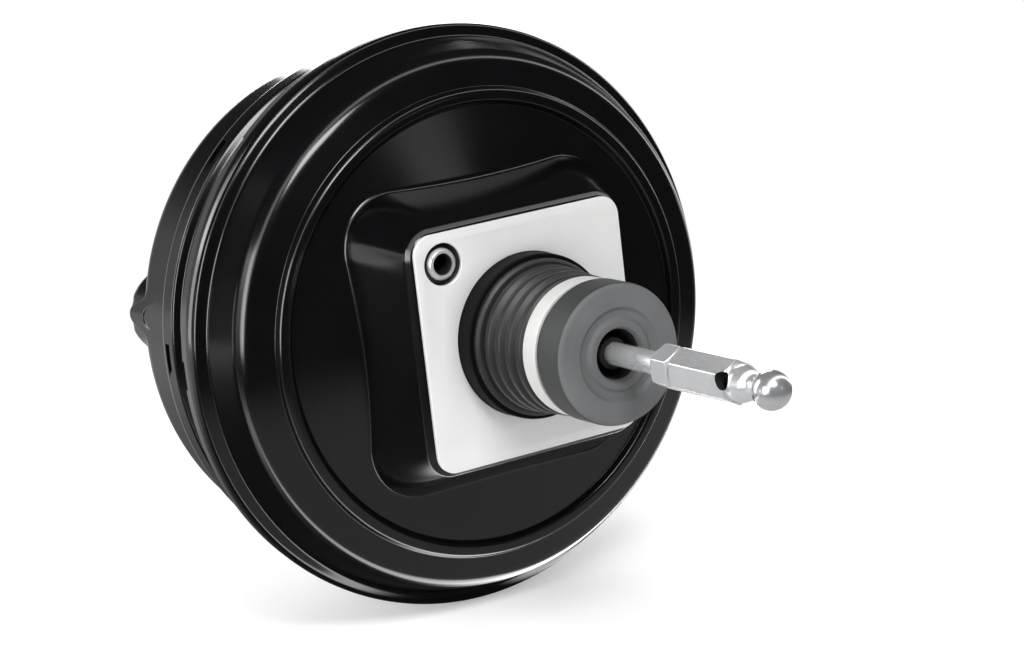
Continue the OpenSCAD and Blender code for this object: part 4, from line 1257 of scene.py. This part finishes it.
@dataclass
class HexBar:
    """A hexagonal bar about the Y axis with chamfered ends and a bore."""

    across: float = 17.0
    end_inset: float = 0.25
    corner_half: float = 0.7
    side_step: float = 3.0

    def build(self, name: str, ends: Spot, bore_r: float) -> Object:
        """Mill the bar.

        Args:
            name: The object's name.
            ends: Stations of its rear and its front end.
            bore_r: Radius of its bore.

        Returns:
            The object.
        """
        rear, front = ends
        edges = 30 + np.arange(0, 360, 60)
        flats, near = np.arange(0, 360, self.side_step), self.corner_half
        spread = np.radians(np.sort(np.concatenate([flats, edges - near, edges + near])))
        local = (spread + math.pi / 6) % (math.pi / 3) - math.pi / 6
        blunt = self.across / 2 / math.cos(math.radians(30 - self.corner_half))
        hexagon = np.minimum(self.across / 2 / np.cos(local), blunt)
        inner = self.across / 2 - self.end_inset
        rise = (hexagon - inner) * math.tan(math.radians(30))
        corners: list[Corner] = [
            (bore_r, front, 0.4), (inner, front, 0.15), (hexagon, front - rise, 0.15),
            (hexagon, rear + rise, 0.15), (inner, rear, 0.15), (bore_r, rear, 0.4),
        ]
        points, rounding = corner_array(corners, len(spread))
        rows = rounded_rows(points, rounding, 3, 2, cyclic=True)
        return shade(lathe(name, rows, spread), SHARP_HEX)


@dataclass
class PedalRod:
    """Input rod, lock nut and the hexagonal sleeve that ends in a ball."""

    rod_r: float = 5.0
    waist_r: float = 4.0
    joint_r: float = 5.3
    nut: Spot = (-118.0, -106.0)
    sleeve: Spot = (-163.5, -119.0)
    hex_end: float = -157.0
    shank_r: float = 7.8
    ball_y: float = -178.5
    ball_r: float = 8.3
    ball_neck_r: float = 4.2
    hole_y: float = -156.0
    hole_r: float = 3.8
    hole_ends: Spot = (1.5, 14.0)
    hole_turn: float = 163.0
    turned_share: float = 0.86

    def rod(self) -> None:
        """Turn the rod with a felt disc that paints the shade in the boot's hole, its thread and the lock nut."""
        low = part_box("input_rod")[0][1] / MM
        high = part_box("input_rod")[1][1] / MM
        radius, waist, joint = self.rod_r, self.waist_r, self.joint_r
        rod: list[Corner] = [
            (0, low, 0), (radius - 0.6, low, 0.3), (radius, low + 0.6, 0.3), (radius, -24.0, 0.8),
            (waist, -20.0, 0.8), (waist, high - 9.5, 0.6), (joint, high - 7.6, 2.0),
            (joint, high - 2.4, 2.6), (0, high, 0),
        ]
        dress(turned("push_rod", rod, 64, 5, False), ROD_ZINC, "rod_zinc", PEDAL_ROD, "input_rod")
        # A near-black felt disc round the rod inside the boot's hole, which paints the shade there
        shade_felt: list[Corner] = [
            (radius, -67.2, 0.2), (7.0, -66.4, 0.8), (7.0, -60.0, 0.8), (radius, -59.4, 0.2),
        ]
        dress(turned("rod_shade_felt", shade_felt, 64, 4), FELT_AND_HOLE_SHADE, "filter_felt", PEDAL_ROD)
        nut = HexBar().build("jam_nut", self.nut, radius)
        dress(nut, ROD_ZINC, "rod_zinc", PEDAL_ROD, "lock_nut")
        core = radius - 0.2
        thread = Coil(core, core, self.nut[0] - 1.6, self.nut[1] + 3.2, 14, 0.55, 4, 40)
        dress(thread.build("rod_thread", ROD_ZINC), ROD_ZINC, "rod_zinc", PEDAL_ROD)

    def head(self) -> Object:
        """Turn the round shank and the ball.

        Returns:
            The object.
        """
        first = math.asin(self.ball_neck_r / self.ball_r)
        end, start = self.sleeve[0], self.hex_end + 1
        ball = [
            (self.ball_r * math.sin(a), self.ball_y + self.ball_r * math.cos(a), 0.0)
            for a in np.linspace(first, math.pi, 28)
        ]
        shank: list[Corner] = [
            (0, start, 0), (self.shank_r, start, 0), (self.shank_r, end + 2.4, 2.6),
            (6.4, end - 1.0, 2.6), (4.4, end - 3.4, 2.0), (4.0, end - 5.4, 1.0),
        ]
        profile: list[Corner] = [*shank, *ball[:-1], (0, ball[-1][1], 0)]
        return turned("head", profile[::-1], 96, 3, False)

    def build(self) -> None:
        """Build the rod, and the ball sleeve with its witness hole, painted dark inside as shade."""
        self.rod()
        turn = math.radians(self.hole_turn)
        outward = Vector((math.cos(turn), 0, math.sin(turn)))
        aim = outward.to_track_quat("Y", "Z").to_matrix().to_4x4()
        aim = Matrix.Translation((0, self.hole_y * MM, 0)) @ aim
        parts = [HexBar().build("sleeve", (self.hex_end, self.sleeve[1]), self.rod_r), self.head()]
        for part in parts:
            hole = bore(self.hole_r, *self.hole_ends)
            hole.data.transform(aim)
            cut(part, hole)
        made = join("ball_end_sleeve", parts)
        dress(made, ROD_ZINC, "rod_zinc", PEDAL_ROD, "ball_sleeve")
        for finish in (BALL_STEEL, BORE_SHADE):
            made.data.materials.append(finish.make())
        inverse, ball_top = aim.inverted(), (self.ball_y + self.ball_r * self.turned_share) * MM
        # The faces inside the witness hole take the bore's near black: painted shade
        for face in made.data.polygons:
            local = inverse @ face.center
            if face.center.y < ball_top:
                face.material_index = 1
            elif local.y > 0 and math.hypot(local.x, local.z) < (self.hole_r + 0.05) * MM:
                face.material_index = 2


@dataclass
class PortRing:
    """The pale stamped ring with a tongue that marks the vacuum port."""

    centre: Spot = (93.0, -1.0)
    faces: Spot = (162.8, 164.0)
    hole_r: float = 6.0
    outer_r: float = 11.0
    tongue_w: float = 4.4
    tongue_len: float = 31.0
    tongue_turn: float = 83.5
    end_r: float = 3.1
    end_turn: float = 0.72
    fillet: float = 0.12

    def build(self) -> None:
        """Stamp the ring with its tongue and round end."""
        lean = math.radians(self.tongue_turn)
        out = Vector((math.cos(lean), math.sin(lean)))
        side = Vector((-out.y, out.x))
        first = math.asin(self.tongue_w / 2 / self.outer_r) + self.fillet
        turns = [lean + a for a in np.linspace(first, FULL - first, 60)]
        outline = arc((0, 0), self.outer_r, turns)
        reach, end_r = self.tongue_len - self.end_r, self.end_r
        for s in np.linspace(-1, 1, 15):
            a = s * self.end_turn * math.pi
            p = out * (reach + end_r * math.cos(a)) + side * (end_r * math.sin(a))
            outline.append((p.x, p.y))
        placed = [(x + self.centre[0], z + self.centre[1]) for x, z in outline]
        hole = circle(self.centre, self.hole_r, 48)
        made = flat_plate("port_marker", [placed, hole], self.faces, 0.3)
        dress(made, PORT_ZINC, "port_zinc", HOUSING, "port_ring")


@dataclass
class Springs:
    """The return springs, and the poppet's spring and sleeve."""

    main_r: Spot = (34.0, 38.0)
    main_y: Spot = (101.8, 163.5)
    main_seat: float = 165.5
    rod_r: float = 9.4
    rod_y: Spot = (-35.3, -27.2)
    rod_seat: float = -26.0
    retainer_y: float = -24.5
    poppet_y: float = -16.0
    poppet_wire: float = 0.5
    sleeve_t: float = 1.4

    def poppet_parts(self) -> list[Object]:
        """Wind the poppet's spring and mould the sleeve round it.

        Returns:
            The spring and the sleeve.
        """
        wire, low, high = self.poppet_wire, self.retainer_y, self.poppet_y
        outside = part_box("poppet_spring")[1][0] / MM
        spring = Coil(outside - wire, outside - wire, low + 0.8, high - 0.8, 4, wire, 8, 36)
        made = spring.build("valve_seat_spring", SPRING_STEEL)
        sleeve_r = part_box("poppet_sleeve")[1][0] / MM
        inside, end = sleeve_r - self.sleeve_t, high - 0.1
        sleeve: list[Corner] = [
            (inside, low + 0.1, 0.2), (sleeve_r, low + 0.1, 0.3), (sleeve_r, high - 3, 0.6),
            (sleeve_r - 0.6, end, 0.2), (sleeve_r - 2, end, 0.2), (inside, high - 3, 0.6),
        ]
        cover = turned("valve_seat_sleeve", sleeve, 72, 4)
        return [
            dress(made, SPRING_STEEL, "spring_steel", None, "poppet_spring"),
            dress(cover, SEAL_RUBBER, "black_rubber", None, "poppet_sleeve"),
        ]

    def build(self) -> None:
        """Wind the springs; the return springs ride on bodies, the poppet's parts on none."""
        main = Coil(*self.main_r, *self.main_y, 5.5, 2.0, 10, 40).build("main_spring", SPRING_STEEL)
        dress(main, SPRING_STEEL, "spring_steel", HOUSING, "return_spring")
        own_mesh(main)
        wound = Coil(self.rod_r, self.rod_r, *self.rod_y, 4, 0.7, 8, 36)
        rod = wound.build("valve_rod_spring", SPRING_STEEL)
        dress(rod, SPRING_STEEL, "spring_steel", PISTONS, "rod_spring")
        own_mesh(rod)
        for made in self.poppet_parts():
            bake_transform(made)


INSIDE: dict[Finish, tuple[str, ...]] = {
    PRESSED_ZINC: (
        "centre_plate", "rear_piston_plate", "front_piston_plate", "rear_plate_clip",
        "front_plate_clip", "stop_key", "poppet_retainer", "rod_collar",
    ),
    SEAL_RUBBER: (
        "tie_rod_gaskets", "rear_diaphragm_bead", "front_diaphragm_bead", "hub_seal", "neck_seal",
        "divider_rod_seals", "rear_diaphragm", "front_diaphragm", "rear_rod_seals",
        "front_rod_seals", "reaction_disc", "poppet",
    ),
    BEARING_PLASTIC: ("neck_bearing",), VALVE_PLASTIC: ("valve_body",),
    FELT_AND_HOLE_SHADE: ("air_filter",), RING_FOAM: ("silencer",), ROD_ZINC: ("output_rod", "plunger"),
}


def dress_inside() -> None:
    """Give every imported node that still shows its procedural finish."""
    for finish, names in INSIDE.items():
        for name in names:
            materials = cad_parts[name].data.materials
            materials.clear()
            materials.append(finish.make())
            log.info("%s: packed node, %s", name, finish.name)


@dataclass(frozen=True)
class Softbox:
    """One rectangular lamp: its place and size in metres and its power in watts."""

    name: str
    place: Place
    size: Spot
    power: float


@dataclass
class Studio:
    """Camera, lamps, world and floor."""

    azimuth: float = -31.0
    elevation: float = 12.5
    distance: float = 1425.6
    lens: float = 112.0
    aim: Place = (0.0, 15.0, -2.0)
    up: Place = (0.209, 0.125, 0.970)
    middle: Place = (0.0, 0.05, 0.0)
    floor_z: float = -135.15
    floor_reach: float = 4000.0
    dark: float = 0.04
    paper: float = 0.45
    floor_paper: float = 0.85
    fill: float = 0.5
    under: float = 0.5
    floor_glow: float = 0.35
    hoop: float = 3.1
    hoop_axis: Place = (-0.48, -0.85, 0.21)
    hoop_lean: float = 0.7
    hoop_edge: Spot = (0.015, 0.06)
    paper_fade: Spot = (0.1, 0.8)
    paper_top: Spot = (0.15, 0.45)
    floor_fade: Spot = (0.1, 0.6)
    patch_reach: Spot = (0.25, 0.6)
    patch_edge: Spot = (0.03, 0.055)
    slot: float = 6.5
    slot_y: float = 0.046
    slot_bend: float = -0.085
    slot_slope: float = -0.195
    slot_edge: Spot = (0.003, 0.011)
    slot_reach: Spot = (0.2, 0.6)
    slot_far: float = 0.4
    clear_reach: Spot = (0.45, 0.95)
    boxes: tuple[Softbox, ...] = (
        Softbox("left_strip", (-1.56, -0.56, 0.2), (0.42, 1.3), 14.0),
        Softbox("rim_strip", (-1.27, 1.33, 0.25), (0.5, 1.4), 8.0),
        Softbox("corner_box", (-1.77, 0.25, 0.1), (0.2, 0.8), 1.1),
        Softbox("key_box", (-0.45, -1.6, 1.6), (1.0, 0.7), 34.0),
        Softbox("dome_window", (0.74, -1.6, 0.36), (0.28, 0.26), 0.24),
        Softbox("engine_side_box", (0.9, 1.6, 0.6), (0.8, 1.2), 14.0),
        Softbox("lug_side_box", (-1.2, 1.3, 1.0), (0.7, 1.0), 9.0),
    )

    def camera(self) -> None:
        """Place the camera at the photograph's viewing angle, rolled as the photograph is."""
        a, e = math.radians(self.azimuth), math.radians(self.elevation)
        back = Vector((math.sin(a) * math.cos(e), -math.cos(a) * math.cos(e), math.sin(e)))
        right = Vector(self.up).cross(back).normalized()
        turn = Matrix((right, back.cross(right), back)).transposed().to_4x4()
        data = bpy.data.cameras.new("camera")
        data.lens, data.sensor_width = self.lens, 36.0
        data.clip_start, data.clip_end = 0.05, 60.0
        camera = show("camera", data)
        place = Vector(self.aim) * MM + back * self.distance * MM
        camera.matrix_world = Matrix.Translation(place) @ turn
        bpy.context.scene.camera = camera

    def lamp(self, box: Softbox) -> None:
        """Hang one soft rectangular lamp that faces the object."""
        data = bpy.data.lights.new(box.name, "AREA")
        data.shape, data.size, data.size_y = "RECTANGLE", *box.size
        data.energy = box.power
        made = show(box.name, data)
        made.location = box.place
        facing = Vector(self.middle) - Vector(box.place)
        made.rotation_euler = facing.to_track_quat("-Z", "Y").to_euler()
        made.visible_camera = False

    def hoop_light(self, tree: NodeTree, toward: tuple[Node, str]) -> Node:
        """Light a thin hoop of the world, which every rounded edge mirrors as a crisp line.

        Args:
            tree: The world's tree.
            toward: The link that gives the direction looked in.

        Returns:
            The node that gives the hoop's level.
        """
        both = maths(tree, "ADD", toward, self.hoop_axis, kind="VectorMath")
        halfway = maths(tree, "NORMALIZE", both, kind="VectorMath")
        lean = (add(tree, "ShaderNodeSeparateXYZ", Vector=halfway), "Y")
        away = maths(tree, "ABSOLUTE", maths(tree, "ADD", lean, self.hoop_lean))
        return ramp(tree, away, self.hoop_edge, (self.hoop, 0.0))

    def world(self) -> None:
        """White for the camera, a soft level for diffuse light, paper and a hoop for gloss."""
        world = bpy.data.worlds.new("studio")
        tree = emptied(world)
        path = add(tree, "ShaderNodeLightPath")
        toward = (add(tree, "ShaderNodeTexCoord"), "Generated")
        parts = add(tree, "ShaderNodeSeparateXYZ", Vector=toward)
        paper = ramp(tree, (parts, "Y"), self.paper_fade, (0.0, self.paper))
        low = ramp(tree, (parts, "Z"), self.paper_top, (1.0, 0.0))
        behind = maths(tree, "MULTIPLY_ADD", paper, low, self.dark)
        mirrored = maths(tree, "ADD", behind, self.hoop_light(tree, toward))
        mix = {"data_type": "FLOAT"}
        is_glossy = (path, "Is Glossy Ray")
        soft = add(tree, "ShaderNodeMix", mix, _0=is_glossy, _2=self.fill, _3=mirrored)
        seen = maths(tree, "MAXIMUM", (path, "Is Camera Ray"), (path, "Is Transmission Ray"))
        level = add(tree, "ShaderNodeMix", mix, _0=seen, _2=soft, _3=1.0)
        sky = add(tree, "ShaderNodeBackground", Color=linear("#ffffff"), Strength=level)
        add(tree, "ShaderNodeOutputWorld", Surface=sky)
        bpy.context.scene.world = world

    def mirrored_floor(self, tree: NodeTree, parts: Node, away: tuple[Node, str]) -> Node:
        """Glossy rays alone see the floor glow: painted paper behind, a pale patch and a light slot.

        Args:
            tree: The floor's tree.
            parts: The node that gives X and Y on the floor.
            away: The link that gives the distance from the object.

        Returns:
            The node that gives the level.
        """
        behind = ramp(tree, (parts, "Y"), self.floor_fade, (self.dark, self.floor_paper))
        under = ramp(tree, away, self.patch_reach, (self.under, 0.0))
        side = maths(tree, "ABSOLUTE", (parts, "X"))
        bend = maths(tree, "MULTIPLY_ADD", side, self.slot_bend, (parts, "Y"))
        across = maths(tree, "MULTIPLY_ADD", (parts, "X"), self.slot_slope, bend)
        patch = maths(tree, "MULTIPLY", under, ramp(tree, across, self.patch_edge, (1.0, 0.0)))
        gap = maths(tree, "ABSOLUTE", maths(tree, "SUBTRACT", across, self.slot_y))
        slot = ramp(tree, gap, self.slot_edge, (self.slot, 0.0))
        reach = ramp(tree, away, self.slot_reach, (1.0, self.slot_far))
        line = maths(tree, "MULTIPLY", slot, reach)
        return maths(tree, "MAXIMUM", behind, maths(tree, "MAXIMUM", patch, line))

    def floor(self) -> None:
        """Lay a pale floor that keeps the object's shadow and fades into the white background."""
        reach, z, white = self.floor_reach, self.floor_z, linear("#ffffff")
        corners = [(-reach, -reach, z), (reach, -reach, z), (reach, reach, z), (-reach, reach, z)]
        made = mesh_piece("floor", corners, [[0, 1, 2, 3]])
        material = bpy.data.materials.new("pale_studio_floor")
        tree = emptied(material)
        path = add(tree, "ShaderNodeLightPath")
        seen, place = (path, "Is Camera Ray"), (add(tree, "ShaderNodeTexCoord"), "Object")
        cloud = add(tree, "ShaderNodeTexNoise", Vector=place, Scale=1.5)
        matt = add(tree, "ShaderNodeBsdfDiffuse", Color=tint(tree, cloud, "#ececeb", "#efefef"))
        glow_level = maths(tree, "MULTIPLY", seen, self.floor_glow)
        glow = add(tree, "ShaderNodeEmission", Color=white, Strength=glow_level)
        lit = add(tree, "ShaderNodeAddShader", _0=matt, _1=glow)
        away = (maths(tree, "LENGTH", place, kind="VectorMath"), "Value")
        parts = add(tree, "ShaderNodeSeparateXYZ", Vector=place)
        # Glossy rays see the floor glow, though no lamp is there: painted reflections
        level = self.mirrored_floor(tree, parts, away)
        sheen = add(tree, "ShaderNodeEmission", Color=white, Strength=level)
        split = add(tree, "ShaderNodeMixShader", _0=(path, "Is Glossy Ray"), _1=lit, _2=sheen)
        fade = maths(tree, "MULTIPLY", ramp(tree, away, self.clear_reach), seen)
        clear = add(tree, "ShaderNodeBsdfTransparent")
        whole = add(tree, "ShaderNodeMixShader", _0=fade, _1=split, _2=clear)
        add(tree, "ShaderNodeOutputMaterial", Surface=whole)
        made.data.materials.append(material)

    def build(self) -> None:
        """Set up the whole studio."""
        self.camera()
        self.world()
        self.floor()
        for box in self.boxes:
            self.lamp(box)


def write_sizes() -> None:
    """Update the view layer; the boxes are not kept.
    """
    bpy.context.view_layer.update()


def main() -> None:
    """Build every piece in order and set up the studio."""
    logging.basicConfig(level=logging.INFO, format="%(name)s: %(message)s")
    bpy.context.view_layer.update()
    ties, tabs = TiePlaces(), Tabs()
    bpy.context.scene.view_settings.view_transform = "Standard"
    dress_inside()
    RearPressing().build(ties, tabs)
    FrontPressing().build(ties, tabs)
    tabs.build()
    MountingPlate().build(ties)
    for which, spot in zip(("upper", "lower"), ties.spots()):
        TieRod().build(which, spot)
    tie_collars(ties)
    DustBoot().build()
    PedalRod().build()
    PortRing().build()
    Springs().build()
    Studio().build()
    write_sizes()


if __name__ == "__main__":
    main()
